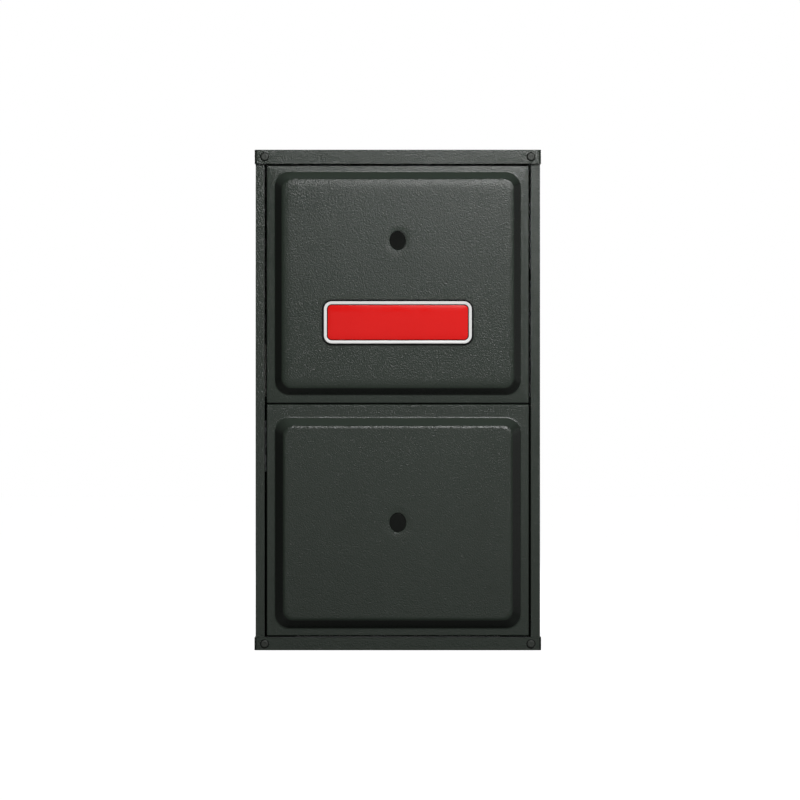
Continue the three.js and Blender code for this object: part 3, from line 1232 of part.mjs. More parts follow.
// The blower interlock: a switch block under the deck whose plunger the lower door's rim holds in.
function doorSwitchShape() {
  const { width, depth, height } = DOOR_SWITCH;
  return block([-width / 2, width / 2], [0, depth], [-height / 2, height / 2])
    .subtract(bore('y', PLUNGER_RADIUS + FIT, [-1, PLUNGER_INSIDE + FIT], 12));
}

function doorSwitchPlungerShape() {
  const tip = FACE_Y + SHEET + FIT - doorSwitchPlace()[1];
  return rod('y', PLUNGER_RADIUS, [tip, PLUNGER_INSIDE], 12);
}

// ---------------------------------------------------------------- the whole furnace

function railAndScrews(name, z, height, capDepth) {
  const screws = [['left', -1], ['right', 1]].map(([word, side]) => {
    const screw = piece(`${name}_screw_${word}`, railScrewShape(), STEEL);
    screw.position.set(side * (RAIL_WIDTH / 2 - SCREW_INSET), -FIT, height / 2);
    return screw;
  });
  return assembly([0, RAIL_Y, z], [piece(`${name}_front_rail`, railShape(height, capDepth), POWDER_COAT), ...screws]);
}

function cabinet() {
  const leftHoles = [
    { y: MANIFOLD_Y, z: BURNER_Z, radius: GAS_PIPE_RADIUS + FIT },
    { y: trapDrainY(), z: trapDrainZ(), radius: DRAIN_RADIUS + FIT },
    junctionKnockout(),
  ];
  return assembly([0, 0, 0], [
    piece('cabinet_left_side', cabinetSideShape(-1, leftHoles), POWDER_COAT),
    piece('cabinet_right_side', cabinetSideShape(1, []), POWDER_COAT),
    piece('cabinet_back', cabinetBackShape(), POWDER_COAT),
    piece('base_pan', basePanShape(), GALVANIZED),
    piece('top_plate', topPlateShape(), POWDER_COAT),
    piece('blower_deck', blowerDeckShape(), GALVANIZED),
    piece('vestibule_panel', vestibulePanelShape(), GALVANIZED),
    railAndScrews('top', TOP_RAIL_Z, TOP_RAIL_HEIGHT, RAIL_WRAP),
    railAndScrews('bottom', 0, BOTTOM_RAIL_HEIGHT, RAIL_PROUD - FIT),
  ]);
}

function heatExchanger() {
  const tubes = TUBE_XS.map((x, i) => {
    const tube = piece(`primary_tube_${i + 1}`, primaryTubeShape(), ALUMINIZED);
    tube.position.x = x;
    return tube;
  });
  return assembly([0, 0, 0], [
    ...tubes,
    piece('rear_header_box', rearHeaderShape(), ALUMINIZED),
    piece('secondary_coil', secondaryCoilShape(), ALUMINIUM),
    piece('collector_box', collectorBoxShape(), GREY_PLASTIC),
  ]);
}

function burners() {
  const rows = TUBE_XS.map((x, i) => {
    const burner = piece(`burner_${i + 1}`, burnerShape(), ALUMINIZED);
    burner.position.x = x;
    return burner;
  });
  const igniter = piece('hot_surface_igniter', ignitionRodShape(2.5), CERAMIC);
  igniter.position.x = TUBE_XS[3];
  const sensor = piece('flame_sensor', ignitionRodShape(1.5), CERAMIC);
  sensor.position.x = TUBE_XS[0];
  const rollout = [piece('rollout_switch', rolloutSwitchShape(), BLACK_PLASTIC),
    piece('rollout_reset_button', rolloutButtonShape(), RED_PLASTIC)];
  const limit = piece('limit_switch', limitSwitchShape(), BLACK_PLASTIC);
  limit.rotation.x = Math.PI / 2;
  limit.position.set(PRESSURE_X, VESTIBULE_Y, limitSwitchZ());
  return assembly([0, 0, 0], [
    piece('burner_box', burnerBoxShape(), ALUMINIZED),
    ...rows,
    igniter,
    sensor,
    assembly([BURNER_BOX_HALF - ROLLOUT_INSET, BURNER_BOX_Y + BURNER_BOX_DEPTH / 2, BURNER_BOX_TOP_Z], rollout),
    limit,
  ]);
}

function gasTrain() {
  const knob = piece('gas_valve_knob', gasValveKnobShape(), RED_PLASTIC);
  knob.position.set(VALVE_X + VALVE_WIDTH / 2 - 8, VALVE_FRONT_Y, BURNER_Z + 10);
  const inlet = piece('gas_inlet_pipe', gasInletPipeShape(), BLACK_PIPE);
  inlet.position.set(0, MANIFOLD_Y, BURNER_Z);
  return assembly([0, 0, 0], [
    piece('gas_manifold', gasManifoldShape(), BLACK_PIPE),
    piece('gas_valve', gasValveShape(), ALUMINIUM),
    knob,
    inlet,
  ]);
}

function draft() {
  return assembly([0, 0, 0], [
    assembly([INDUCER_X, INDUCER_Y, INDUCER_Z], [
      piece('inducer_housing', inducerHousingShape(), BLACK_PLASTIC),
      piece('inducer_wheel', inducerWheelShape(), GREY_PLASTIC),
      piece('inducer_shaft', inducerShaftShape(), STEEL),
      piece('inducer_motor', inducerMotorShape(), MOTOR_ENAMEL),
    ]),
    piece('vent_pipe', ventPipeShape(), WHITE_PLASTIC),
    piece('air_intake_pipe', airIntakePipeShape(), WHITE_PLASTIC),
    piece('pressure_switch', pressureSwitchShape(), GREY_PLASTIC),
    piece('pressure_hose', pressureHoseShape(), RUBBER),
    piece('condensate_trap', condensateTrapShape(), WHITE_PLASTIC),
    piece('condensate_hose', condensateHoseShape(), RUBBER),
  ]);
}

function blower() {
  return assembly([0, BLOWER_Y, BLOWER_Z], [
    piece('blower_housing', blowerHousingShape(), GALVANIZED),
    piece('blower_wheel', blowerWheelShape(), GALVANIZED),
    piece('blower_shaft', blowerShaftShape(), STEEL),
    piece('blower_motor', blowerMotorShape(), MOTOR_ENAMEL),
    piece('motor_mount', motorMountShape(), STEEL),
  ]);
}

function controls() {
  const doorSwitch = piece('door_switch', doorSwitchShape(), BLACK_PLASTIC);
  const plunger = piece('door_switch_plunger', doorSwitchPlungerShape(), WHITE_PLASTIC);
  return assembly([0, 0, 0], [
    piece('control_plate', controlPlateShape(), GALVANIZED),
    piece('control_board', controlBoardShape(), CIRCUIT_BOARD),
    piece('transformer', transformerShape(), BLACK_PIPE),
    piece('junction_box', junctionBoxShape(), GALVANIZED),
    assembly(doorSwitchPlace(), [doorSwitch, plunger]),
  ]);
}

const furnace = assembly([0, 0, 0], [
  cabinet(),
  upperDoor(),
  lowerDoor(),
  heatExchanger(),
  burners(),
  gasTrain(),
  draft(),
  blower(),
  controls(),
]);

export default furnace;
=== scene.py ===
import json
import math

import bmesh
import bpy
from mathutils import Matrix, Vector


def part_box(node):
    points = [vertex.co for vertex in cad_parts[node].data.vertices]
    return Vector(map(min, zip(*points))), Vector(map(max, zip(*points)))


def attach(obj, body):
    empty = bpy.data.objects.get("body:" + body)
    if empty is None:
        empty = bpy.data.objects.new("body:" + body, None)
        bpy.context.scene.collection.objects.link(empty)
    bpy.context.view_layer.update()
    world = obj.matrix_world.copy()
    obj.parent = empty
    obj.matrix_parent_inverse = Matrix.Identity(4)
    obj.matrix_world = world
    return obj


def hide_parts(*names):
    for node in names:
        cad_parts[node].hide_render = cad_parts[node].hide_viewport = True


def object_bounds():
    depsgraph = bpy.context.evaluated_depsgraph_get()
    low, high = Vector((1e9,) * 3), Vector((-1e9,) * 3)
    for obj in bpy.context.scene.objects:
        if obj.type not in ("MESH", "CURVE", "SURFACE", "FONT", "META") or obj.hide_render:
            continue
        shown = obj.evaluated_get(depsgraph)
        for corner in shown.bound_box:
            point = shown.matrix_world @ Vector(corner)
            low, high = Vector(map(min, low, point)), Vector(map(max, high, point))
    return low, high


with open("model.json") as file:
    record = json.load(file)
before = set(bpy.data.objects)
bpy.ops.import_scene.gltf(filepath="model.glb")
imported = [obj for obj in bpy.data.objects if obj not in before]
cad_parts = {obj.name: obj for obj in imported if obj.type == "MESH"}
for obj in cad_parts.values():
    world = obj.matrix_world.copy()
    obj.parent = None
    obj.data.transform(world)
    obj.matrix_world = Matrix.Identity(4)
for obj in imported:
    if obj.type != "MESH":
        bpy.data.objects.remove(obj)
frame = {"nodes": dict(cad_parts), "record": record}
cad_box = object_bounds()

# ------------------------------------------------------------ studio
# A pale floor, a wide key light above the front with a small sheen light under it, a large dim light in
# front, one at the right and two soft lights behind. The camera looks square on at the doors from far
# off, as the photograph does, with the cabinet a little left of the middle.

MM = 0.001
PHOTO_PIXELS = 800
PHOTO_WIDTH = 1.400               # metres across the picture at the rails' face
METRES_PER_PIXEL = PHOTO_WIDTH / PHOTO_PIXELS
CABINET_CENTRE_PIXEL = 397.8
CAMERA_DISTANCE = 9.0
SENSOR_WIDTH = 36.0

rail_face_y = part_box("top_front_rail")[0][1]
middle_z = (cad_box[0].z + cad_box[1].z) / 2


def new_piece(name, data):
    """An object in the scene, at the origin."""
    piece = bpy.data.objects.new(name, data)
    bpy.context.scene.collection.objects.link(piece)
    return piece


camera_data = bpy.data.cameras.new("front_view")
camera_data.sensor_width = SENSOR_WIDTH
camera_data.lens = SENSOR_WIDTH * CAMERA_DISTANCE / PHOTO_WIDTH
camera_data.clip_end = 200
camera = new_piece("front_view", camera_data)
camera_x = (PHOTO_PIXELS / 2 - CABINET_CENTRE_PIXEL) * METRES_PER_PIXEL
camera.location = (camera_x, rail_face_y - CAMERA_DISTANCE, middle_z)
camera.rotation_euler = (math.radians(90), 0, 0)
bpy.context.scene.camera = camera
bpy.context.scene.view_settings.view_transform = "Standard"


class Wire:
    """A node's output that takes part in plain arithmetic, adding the Math nodes that the sum needs."""

    def __init__(self, nodes, socket):
        self.nodes = nodes
        self.socket = socket

    def beside(self, output):
        """Another output of the same node."""
        return Wire(self.nodes, self.socket.node.outputs[output])

    def __add__(self, other):
        return self.nodes.maths("ADD", self, other)

    def __radd__(self, other):
        return self.nodes.maths("ADD", other, self)

    def __sub__(self, other):
        return self.nodes.maths("SUBTRACT", self, other)

    def __rsub__(self, other):
        return self.nodes.maths("SUBTRACT", other, self)

    def __mul__(self, other):
        return self.nodes.maths("MULTIPLY", self, other)

    def __gt__(self, other):
        return self.nodes.maths("GREATER_THAN", self, other)


class Nodes:
    """Adds nodes to a tree and wires their inputs up."""

    def __init__(self, tree):
        self.tree = tree

    def node(self, kind, inputs, output=0, stops=(), **settings):
        made = self.tree.nodes.new(kind)
        for name, value in settings.items():
            setattr(made, name, value)
        for index, (position, colour) in enumerate(stops):
            ramp = made.color_ramp.elements
            element = ramp[index] if index < len(ramp) else ramp.new(position)
            element.position = position
            element.color = colour
        for name, value in inputs.items():
            if isinstance(value, Wire):
                self.tree.links.new(value.socket, made.inputs[name])
            else:
                made.inputs[name].default_value = value
        return Wire(self, made.outputs[output])

    def maths(self, operation, first, second=0.0):
        return self.node("ShaderNodeMath", {0: first, 1: second}, operation=operation)


class Finish(Nodes):
    """A procedural surface. Values that stay the same all over are set on the shader's own sockets."""

    def __init__(self, name, constant=()):
        self.material = bpy.data.materials.new(name)
        self.material.use_nodes = True
        super().__init__(self.material.node_tree)
        self.shader = self.tree.nodes["Principled BSDF"]
        for socket, value in dict(constant).items():
            self.shader.inputs[socket].default_value = value
        self.place = self.node("ShaderNodeTexCoord", {}, "Object")

    def noise(self, scale, detail=3.0, roughness=0.5, place=None):
        inputs = {"Vector": place or self.place, "Scale": scale, "Detail": detail, "Roughness": roughness}
        return self.node("ShaderNodeTexNoise", inputs, "Fac")

    def stretched(self, factors):
        return self.node("ShaderNodeMapping", {"Vector": self.place, "Scale": factors}, "Vector")

    def between(self, mask, first, second):
        """A blend from the first colour to the second, each a tuple or a wire."""
        ends = [(*end, 1) if isinstance(end, tuple) else end for end in (first, second)]
        return self.node("ShaderNodeMix", {0: mask, 6: ends[0], 7: ends[1]}, 2, data_type="RGBA")

    def relief(self, height, strength, depth):
        inputs = {"Height": height, "Strength": strength, "Distance": depth}
        return self.node("ShaderNodeBump", inputs, "Normal")

    def wear(self, colour, roughness, normal=None):
        """Feeds the sockets that change over the surface."""
        for socket, wire in (("Base Color", colour), ("Roughness", roughness), ("Normal", normal)):
            if wire is not None:
                self.tree.links.new(wire.socket, self.shader.inputs[socket])
        return self.material


def lamp(name, place, target, width, height, watts):
    data = bpy.data.lights.new(name, "AREA")
    data.shape = "RECTANGLE"
    data.size = width
    data.size_y = height
    data.energy = watts
    made = new_piece(name, data)
    made.location = place
    made.rotation_euler = (Vector(target) - Vector(place)).to_track_quat("-Z", "Y").to_euler()


lamp("key_light", (0.54, rail_face_y - 1.7, 1.62), (0.05, rail_face_y, 0.60), 1.3, 0.26, 26)
lamp("sheen_light", (0.24, rail_face_y - 1.7, 1.26), (0.10, rail_face_y, 0.80), 0.3, 0.25, 4.5)
lamp("front_light", (0.2, rail_face_y - 2.0, 0.36), (0, rail_face_y, 0.36), 2.0, 0.9, 4.6)
lamp("right_light", (2.6, rail_face_y - 0.85, 0.5), (0.2, rail_face_y, 0.45), 1.2, 1.6, 2.2)
lamp("left_back_light", (-2.6, 3.4, 1.6), (0, 0, 0.5), 2.0, 2.0, 90)
lamp("right_back_light", (2.6, 3.4, 1.6), (0, 0, 0.5), 2.0, 2.0, 90)

# The backdrop is white to the camera, and to what mirrors or lets through the part of it behind the
# cabinet. All other rays see it at this strength.
AMBIENT = 0.12


def backdrop_share(look, behind):
    """1 where the backdrop is seen and 0 where it only lights the room."""
    seen = look.node("ShaderNodeLightPath", {}, "Is Camera Ray")
    mirrored = seen.beside("Is Glossy Ray") + seen.beside("Is Transmission Ray")
    return seen + mirrored * behind


world = bpy.data.worlds.new("studio")
world.use_nodes = True
bpy.context.scene.world = world
background = world.node_tree.nodes["Background"]
background.inputs["Color"].default_value = (1, 1, 1, 1)
room = Nodes(world.node_tree)
toward = room.node("ShaderNodeTexCoord", {}, "Generated")
backward = room.node("ShaderNodeSeparateXYZ", {"Vector": toward}, "Y")
behind = room.node("ShaderNodeMapRange", {"Value": backward, "From Min": 0.8, "From Max": 0.97})
glow = backdrop_share(room, behind) * (1 - AMBIENT) + AMBIENT
room.tree.links.new(glow.socket, background.inputs["Strength"])

FLOOR_HALF = 14.0
FLOOR_DROP = 0.0005
FLOOR_GLOW = 0.96
BACK_OF_ROOM = 0.9
floor_mesh = bpy.data.meshes.new("studio_floor")
floor_corners = [(x * FLOOR_HALF, y * FLOOR_HALF, -FLOOR_DROP)
                 for x, y in ((-1, -1), (1, -1), (1, 1), (-1, 1))]
floor_mesh.from_pydata(floor_corners, [], [(0, 1, 2, 3)])
studio_floor = new_piece("studio_floor", floor_mesh)
pale = Finish("pale_floor", {"Roughness": 0.9, "Base Color": (0.25, 0.25, 0.25, 1),
                             "Specular IOR Level": 0.1, "Emission Color": (1, 1, 1, 1)})
away = pale.node("ShaderNodeSeparateXYZ", {"Vector": pale.place}, "Y") > BACK_OF_ROOM
lift = backdrop_share(pale, away) * FLOOR_GLOW
pale.tree.links.new(lift.socket, pale.shader.inputs["Emission Strength"])
floor_mesh.materials.append(pale.material)

# ------------------------------------------------------------ cabinet shell
# Two sides and a back of bent steel sheet and an open top frame, coated inside and out with a dark grey
# textured powder. Every cut edge and bend is slightly rounded by the coat. The sheets are lock-seamed at
# the rear corners.

body_of = {node: body for body, nodes in frame["record"]["behaviour"]["bodies"].items() for node in nodes}


def dressed(piece, finish, *nodes):
    """The piece stands for CAD nodes of one body, moves with it and takes the given finish."""
    piece.data.materials.clear()
    piece.data.materials.append(finish)
    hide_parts(*nodes)
    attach(piece, body_of[nodes[0]])
    return piece


def settled(piece):
    """Turns the modifiers into plain mesh."""
    graph = bpy.context.evaluated_depsgraph_get()
    mesh = bpy.data.meshes.new_from_object(piece.evaluated_get(graph))
    piece.modifiers.clear()
    piece.data = mesh
    return piece


def rounded_over(piece, width, segments):
    """Rounds the edges sharper than 30 degrees by a width in millimetres, and keeps the shading of the
    flats between them flat."""
    piece.data.shade_smooth()
    rounding = piece.modifiers.new("rounding", "BEVEL")
    rounding.width = width * MM
    rounding.segments = segments
    rounding.limit_method = "ANGLE"
    rounding.angle_limit = math.radians(30)
    flats = piece.modifiers.new("flats", "WEIGHTED_NORMAL")
    flats.weight = 100
    return settled(piece)


def softened(name, node, width, finish, segments=2):
    """A copy of a CAD node with its doubled vertices merged and its edges rounded over."""
    shape = bmesh.new()
    shape.from_mesh(frame["nodes"][node].data)
    bmesh.ops.remove_doubles(shape, verts=shape.verts, dist=0.01 * MM)
    bmesh.ops.dissolve_limit(shape, angle_limit=math.radians(0.5), verts=shape.verts, edges=shape.edges)
    mesh = bpy.data.meshes.new(name)
    shape.to_mesh(mesh)
    shape.free()
    dressed(rounded_over(new_piece(name, mesh), width, segments), finish, node)


def powder_coat(name, pebble_size, pebble_depth):
    """Dark grey with a trace of green, sprayed so that it cures to a leather-like pebble. Where the sheet
    is drawn over a shoulder the coat is smooth, and its colour there is painted shade: darkest on slopes
    that face sideways or down, lighter on slopes that face up, as painted light from above. Faces that
    look up hold dust."""
    coat = Finish(name, {"Specular IOR Level": 0.45})
    normal = coat.node("ShaderNodeTexCoord", {}, "Normal")
    facing = coat.node("ShaderNodeSeparateXYZ", {"Vector": normal}, "Y")
    upward = facing.beside("Z")
    flatness = coat.maths("ABSOLUTE", facing)
    # The slope mask: it smooths the pebble on the shoulders and brings in the painted shade there.
    drawn_and_painted_shade = coat.node("ShaderNodeMapRange", {"Value": flatness, "From Min": 0.975, "From Max": 0.83})
    drift = coat.noise(9, 2)
    fleck = coat.noise(700, 2)
    plain = coat.between(drift * 0.5 + fleck * 0.5, (0.0172, 0.0246, 0.0180), (0.0258, 0.0364, 0.0270))
    # Painted shade: the slopes take a much darker colour, lighter where they face up, as painted light from
    # above.
    painted_slope_shade = coat.between(upward, (0.0045, 0.0064, 0.0047), (0.050, 0.066, 0.052))
    dust = coat.node("ShaderNodeMapRange", {"Value": upward, "From Min": 0.9, "From Max": 1.0})
    coat_with_painted_shade = coat.between(drawn_and_painted_shade, plain, painted_slope_shade)
    colour = coat.between(dust * (0.3 + drift * 0.4), coat_with_painted_shade, (0.042, 0.043, 0.040))
    cells = coat.node("ShaderNodeTexVoronoi", {"Vector": coat.place, "Scale": 1 / pebble_size,
                                               "Smoothness": 0.5}, "Distance", feature="SMOOTH_F1")
    lumps = coat.noise(1.3 / pebble_size, 3)
    height = ((1 - cells) * 0.5 + lumps * 1.2) * (1 - drawn_and_painted_shade * 0.7)
    roughness = 0.17 + fleck * 0.06 + dust * 0.46
    return coat.wear(colour, roughness, normal=coat.relief(height, 0.9, pebble_depth))


door_coat = powder_coat("textured_powder_coat", 2.4 * MM, 0.55 * MM)

for sheet, width in (("cabinet_left_side", 0.5), ("cabinet_right_side", 0.5), ("cabinet_back", 0.5),
                     ("top_plate", 0.4)):
    softened(sheet + "_coated", sheet, width, door_coat)

# ------------------------------------------------------------ cabinet lining
# Base pan, blower deck and the panel behind the burners are zinc-coated sheet left bare. The zinc has set
# in crystals that catch the light one by one, with the greyer smears of handling over them.


def coated_sheet(name, dark, light, roughness, crystal):
    """Zinc or aluminium coated steel: crystals of the coat, and smears that dull it."""
    sheet = Finish(name, {"Metallic": 0.72})
    cells = sheet.node("ShaderNodeTexVoronoi", {"Vector": sheet.place, "Scale": 1 / crystal}, "Color")
    tone = sheet.node("ShaderNodeSeparateColor", {"Color": cells}, "Red")
    smear = sheet.noise(16, 4)
    rolled = sheet.noise(60, 3, place=sheet.stretched((1, 1, 0.05)))
    colour = sheet.between(tone * 0.45 + smear * 0.35 + rolled * 0.2, dark, light)
    return sheet.wear(colour, roughness + (smear - tone) * 0.16,
                      normal=sheet.relief(rolled + tone, 0.25, 0.2 * MM))


zinc = coated_sheet("galvanized_sheet", (0.27, 0.28, 0.29), (0.56, 0.58, 0.60), 0.42, 9 * MM)
for sheet in ("base_pan", "blower_deck", "vestibule_panel"):
    softened(sheet + "_zinc", sheet, 0.4, zinc)

# ------------------------------------------------------------ heat exchanger
# Four bent tubes of aluminized steel, blued and browned by the flame near the burners. They end in a box
# at the back, which feeds the finned coil below. A plastic box in front of it gathers the cooled gas.


def extent(node):
    """A CAD node's box in millimetres."""
    return tuple(Vector(corner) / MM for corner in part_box(node))


def solid_piece(name, points, faces, smooth_angle=40):
    """A closed piece from points in millimetres, its faces turned outwards."""
    shape = bmesh.new()
    corners = [shape.verts.new(Vector(point) * MM) for point in points]
    for face in faces:
        shape.faces.new([corners[i] for i in face])
    bmesh.ops.recalc_face_normals(shape, faces=shape.faces)
    mesh = bpy.data.meshes.new(name)
    shape.to_mesh(mesh)
    shape.free()
    mesh.shade_smooth()
    mesh.set_sharp_from_angle(angle=math.radians(smooth_angle))
    return new_piece(name, mesh)


def through_rings(name, rings, closed, smooth_angle=40):
    """A skin through rings of as many points each. It joins up with itself, or has its ends filled."""
    count = len(rings[0])
    total = len(rings)
    faces = []
    for level in range(total if closed else total - 1):
        near, far = level * count, (level + 1) % total * count
        faces += [(near + i, near + (i + 1) % count, far + (i + 1) % count, far + i)
                  for i in range(count)]
    if not closed:
        faces += [tuple(range(count)), tuple(range((total - 1) * count, total * count))]
    return solid_piece(name, [point for ring in rings for point in ring], faces, smooth_angle)


def circle(centre, first, second, radius, sides):
    turns = [2 * math.pi * i / sides for i in range(sides)]
    return [centre + (first * math.cos(turn) + second * math.sin(turn)) * radius for turn in turns]


def bent_run(corners, bend, steps):
    """Points and directions along a pipe that turns its corners in round bends."""
    corners = [Vector(corner) for corner in corners]
    stations = [(corners[0], (corners[1] - corners[0]).normalized())]
    for before, corner, after in zip(corners, corners[1:], corners[2:]):
        inward = (corner - before).normalized()
        outward = (after - corner).normalized()
        turn = inward.angle(outward)
        start = corner - inward * bend * math.tan(turn / 2)
        side = (outward - inward * outward.dot(inward)).normalized()
        for step in range(steps + 1):
            angle = turn * step / steps
            point = start + inward * bend * math.sin(angle) + side * bend * (1 - math.cos(angle))
            if (point - stations[-1][0]).length > 0.01:
                stations.append((point, inward * math.cos(angle) + side * math.sin(angle)))
    stations.append((corners[-1], (corners[-1] - corners[-2]).normalized()))
    return stations


def bent_pipe(name, corners, across, bend, outer, inner, sides=32, steps=12):
    """A pipe in a flat run. across is square to the plane of its bends."""
    across = Vector(across)
    stations = bent_run(corners, bend, steps)
    rings = [circle(point, across, across.cross(along), outer, sides) for point, along in stations]
    if inner:
        rings += [circle(point, across, across.cross(along), inner, sides)
                  for point, along in reversed(stations)]
    return through_rings(name, rings, bool(inner))


aluminized = coated_sheet("aluminized_sheet", (0.30, 0.30, 0.29), (0.52, 0.52, 0.50), 0.46, 3 * MM)

blued = Finish("aluminized_tube", {"Metallic": 0.8})
along = blued.node("ShaderNodeSeparateXYZ", {"Vector": blued.place}, "Y")
height = along.beside("Z")
cloud = blued.noise(22, 4)
draw_lines = blued.noise(240, 2, place=blued.stretched((1, 0.03, 1)))
toward_flame = blued.node("ShaderNodeMapRange", {"Value": along + cloud * 0.1, "From Min": 0.18,
                                                 "From Max": -0.06})
heat = (height > 0.70) * toward_flame
tint = blued.node("ShaderNodeValToRGB", {"Fac": heat}, "Color", stops=(
    (0.0, (0.42, 0.42, 0.41, 1)), (0.35, (0.44, 0.36, 0.22, 1)), (0.6, (0.30, 0.19, 0.17, 1)),
    (0.8, (0.16, 0.19, 0.30, 1)), (1.0, (0.24, 0.26, 0.28, 1))))
dulled = blued.between(cloud * 0.4, tint, (0.17, 0.16, 0.15))
tube_steel = blued.wear(dulled, 0.36 + cloud * 0.2, normal=blued.relief(draw_lines + cloud, 0.3, 0.3 * MM))

header_low, header_high = extent("rear_header_box")
coil_low, coil_high = extent("secondary_coil")
TUBE_RADIUS = 21
TUBE_WALL = 1.5
TUBE_SHEET = 1.2
STRAIGHT_BEFORE_BEND = 14
for number in range(1, 5):
    tube = f"primary_tube_{number}"
    low, high = extent(tube)
    x = (low.x + high.x) / 2
    top_z = high.z - TUBE_RADIUS
    low_z = low.z + TUBE_RADIUS
    pitch = (top_z - low_z) / 2
    rear_y = header_low.y + (header_high.y - header_low.y) / 2 - TUBE_RADIUS
    front_y = low.y + TUBE_SHEET + STRAIGHT_BEFORE_BEND + TUBE_RADIUS
    run = [(x, low.y, top_z), (x, rear_y, top_z), (x, rear_y, top_z - pitch), (x, front_y, top_z - pitch),
           (x, front_y, low_z), (x, header_low.y + TUBE_SHEET, low_z)]
    bent = bent_pipe(tube + "_bent", run, (1, 0, 0), pitch / 2, TUBE_RADIUS, TUBE_RADIUS - TUBE_WALL)
    dressed(bent, tube_steel, tube)

softened("rear_header_folded", "rear_header_box", 0.5, aluminized)


def bevelled_boxes(name, boxes, width, segments=2):
    """Boxes given by two corners in millimetres, as one piece with rounded edges."""
    points, faces = [], []
    for (x0, y0, z0), (x1, y1, z1) in boxes:
        base = len(points)
        points += [(x, y, z) for x in (x0, x1) for y in (y0, y1) for z in (z0, z1)]
        faces += [tuple(base + i for i in face) for face in (
            (0, 1, 3, 2), (4, 6, 7, 5), (0, 4, 5, 1), (2, 3, 7, 6), (0, 2, 6, 4), (1, 5, 7, 3))]
    return rounded_over(solid_piece(name, points, faces, 180), width, segments)


copies = bpy.data.node_groups.new("copies_on_seats", "GeometryNodeTree")
copy_inputs = {}
for label, kind in (("Seats", "NodeSocketGeometry"), ("Original", "NodeSocketObject"),
                    ("Turn", "NodeSocketVector"), ("Scatter", "NodeSocketFloat"),
                    ("Finish", "NodeSocketMaterial")):
    copy_inputs[label] = copies.interface.new_socket(label, in_out="INPUT", socket_type=kind)
copies.interface.new_socket("Pieces", in_out="OUTPUT", socket_type="NodeSocketGeometry")


def copies_node(kind, links, **settings):
    made = copies.nodes.new(kind)
    for name, value in settings.items():
        setattr(made, name, value)
    for name, source in links.items():
        copies.links.new(source, made.inputs[name])
    return made.outputs


given = copies_node("NodeGroupInput", {})
order = copies_node("GeometryNodeInputIndex", {})["Index"]
step_turn = copies_node("ShaderNodeVectorMath", {0: given["Turn"], "Scale": order}, operation="SCALE")[0]
chance = copies_node("FunctionNodeRandomValue", {"Max": given["Scatter"]})["Value"]
twist = copies_node("ShaderNodeCombineXYZ", {"Y": chance})[0]
whole_turn = copies_node("ShaderNodeVectorMath", {0: step_turn, 1: twist})[0]
turned_by = copies_node("FunctionNodeEulerToRotation", {"Euler": whole_turn})[0]
original_shape = copies_node("GeometryNodeObjectInfo", {"Object": given["Original"]})["Geometry"]
copies_in_place = copies_node("GeometryNodeInstanceOnPoints", {
    "Points": given["Seats"], "Instance": original_shape, "Rotation": turned_by})[0]
real = copies_node("GeometryNodeRealizeInstances", {"Geometry": copies_in_place})[0]
painted = copies_node("GeometryNodeSetMaterial", {"Geometry": real, "Material": given["Finish"]})[0]
copies_node("NodeGroupOutput", {"Pieces": painted})


def copied(name, original, seats, finish, *nodes, turn=(0, 0, 0), scatter=0.0):
    """A copy of the original on every seat, in millimetres. Each is turned one step further than the last,
    and by chance about Y as far as scatter."""
    mesh = bpy.data.meshes.new(name)
    mesh.from_pydata([Vector(seat) * MM for seat in seats], [], [])
    piece = new_piece(name, mesh)
    layout = piece.modifiers.new("layout", "NODES")
    layout.node_group = copies
    settings = {"Original": original, "Turn": turn, "Scatter": scatter, "Finish": finish}
    for label, value in settings.items():
        layout[copy_inputs[label].identifier] = value
    settled(piece)
    bpy.data.objects.remove(original)
    return dressed(piece, finish, *nodes)


def ribbed(name, dark, light, roughness, depth, lines):
    """Rolled or cast light metal. lines says along which axis the tool marks stay alike."""
    metal = Finish(name, {"Metallic": 0.85})
    marks = metal.noise(420, 3, place=metal.stretched(lines))
    cloud = metal.noise(30, 3)
    colour = metal.between(marks * 0.5 + cloud * 0.5, dark, light)
    return metal.wear(colour, roughness + (cloud - 0.5) * 0.2, normal=metal.relief(marks, 0.3, depth * MM))


fin_stock = ribbed("fin_aluminium", (0.40, 0.41, 0.42), (0.62, 0.63, 0.64), 0.35, 0.1, (0.1, 1, 0.1))
FIN_PITCH = 4.2
FIN_THICK = 0.5
END_PLATE = 6
core = bevelled_boxes("coil_core", [
    (coil_low + Vector((1, 1, 12)), coil_high - Vector((1, 1, 12))),
    (coil_low, (coil_high.x, coil_low.y + END_PLATE, coil_high.z)),
    ((coil_low.x, coil_high.y - END_PLATE, coil_low.z), coil_high)], 0.6)
dressed(core, fin_stock, "secondary_coil")
fin_box = ((coil_low.x, 0, coil_low.z), (coil_high.x, FIN_THICK, coil_high.z))
fin = bevelled_boxes("coil_fin", [fin_box], 0.1, 1)
fin_count = int((coil_high.y - coil_low.y - 2 * END_PLATE) / FIN_PITCH)
fin_seats = [(0, coil_low.y + END_PLATE + FIN_PITCH * (i + 0.5), 0) for i in range(fin_count)]
copied("coil_fins", fin, fin_seats, fin_stock, "secondary_coil")


def moulded(name, dark, light, roughness, grain, constant=()):
    """Moulded or extruded plastic: a fine grain, slow drifts of tone and rubbed patches."""
    plastic = Finish(name, constant)
    drift = plastic.noise(14, 3)
    skin = plastic.noise(1 / (grain * MM), 2)
    patches = plastic.noise(45, 4)
    rubbed = plastic.node("ShaderNodeMapRange", {"Value": patches, "From Min": 0.5, "From Max": 0.75})
    colour = plastic.between(drift * 0.7 + skin * 0.3, dark, light)
    return plastic.wear(colour, roughness + drift * 0.1 - rubbed * 0.1,
                        normal=plastic.relief(skin, 0.35, 0.12 * MM))


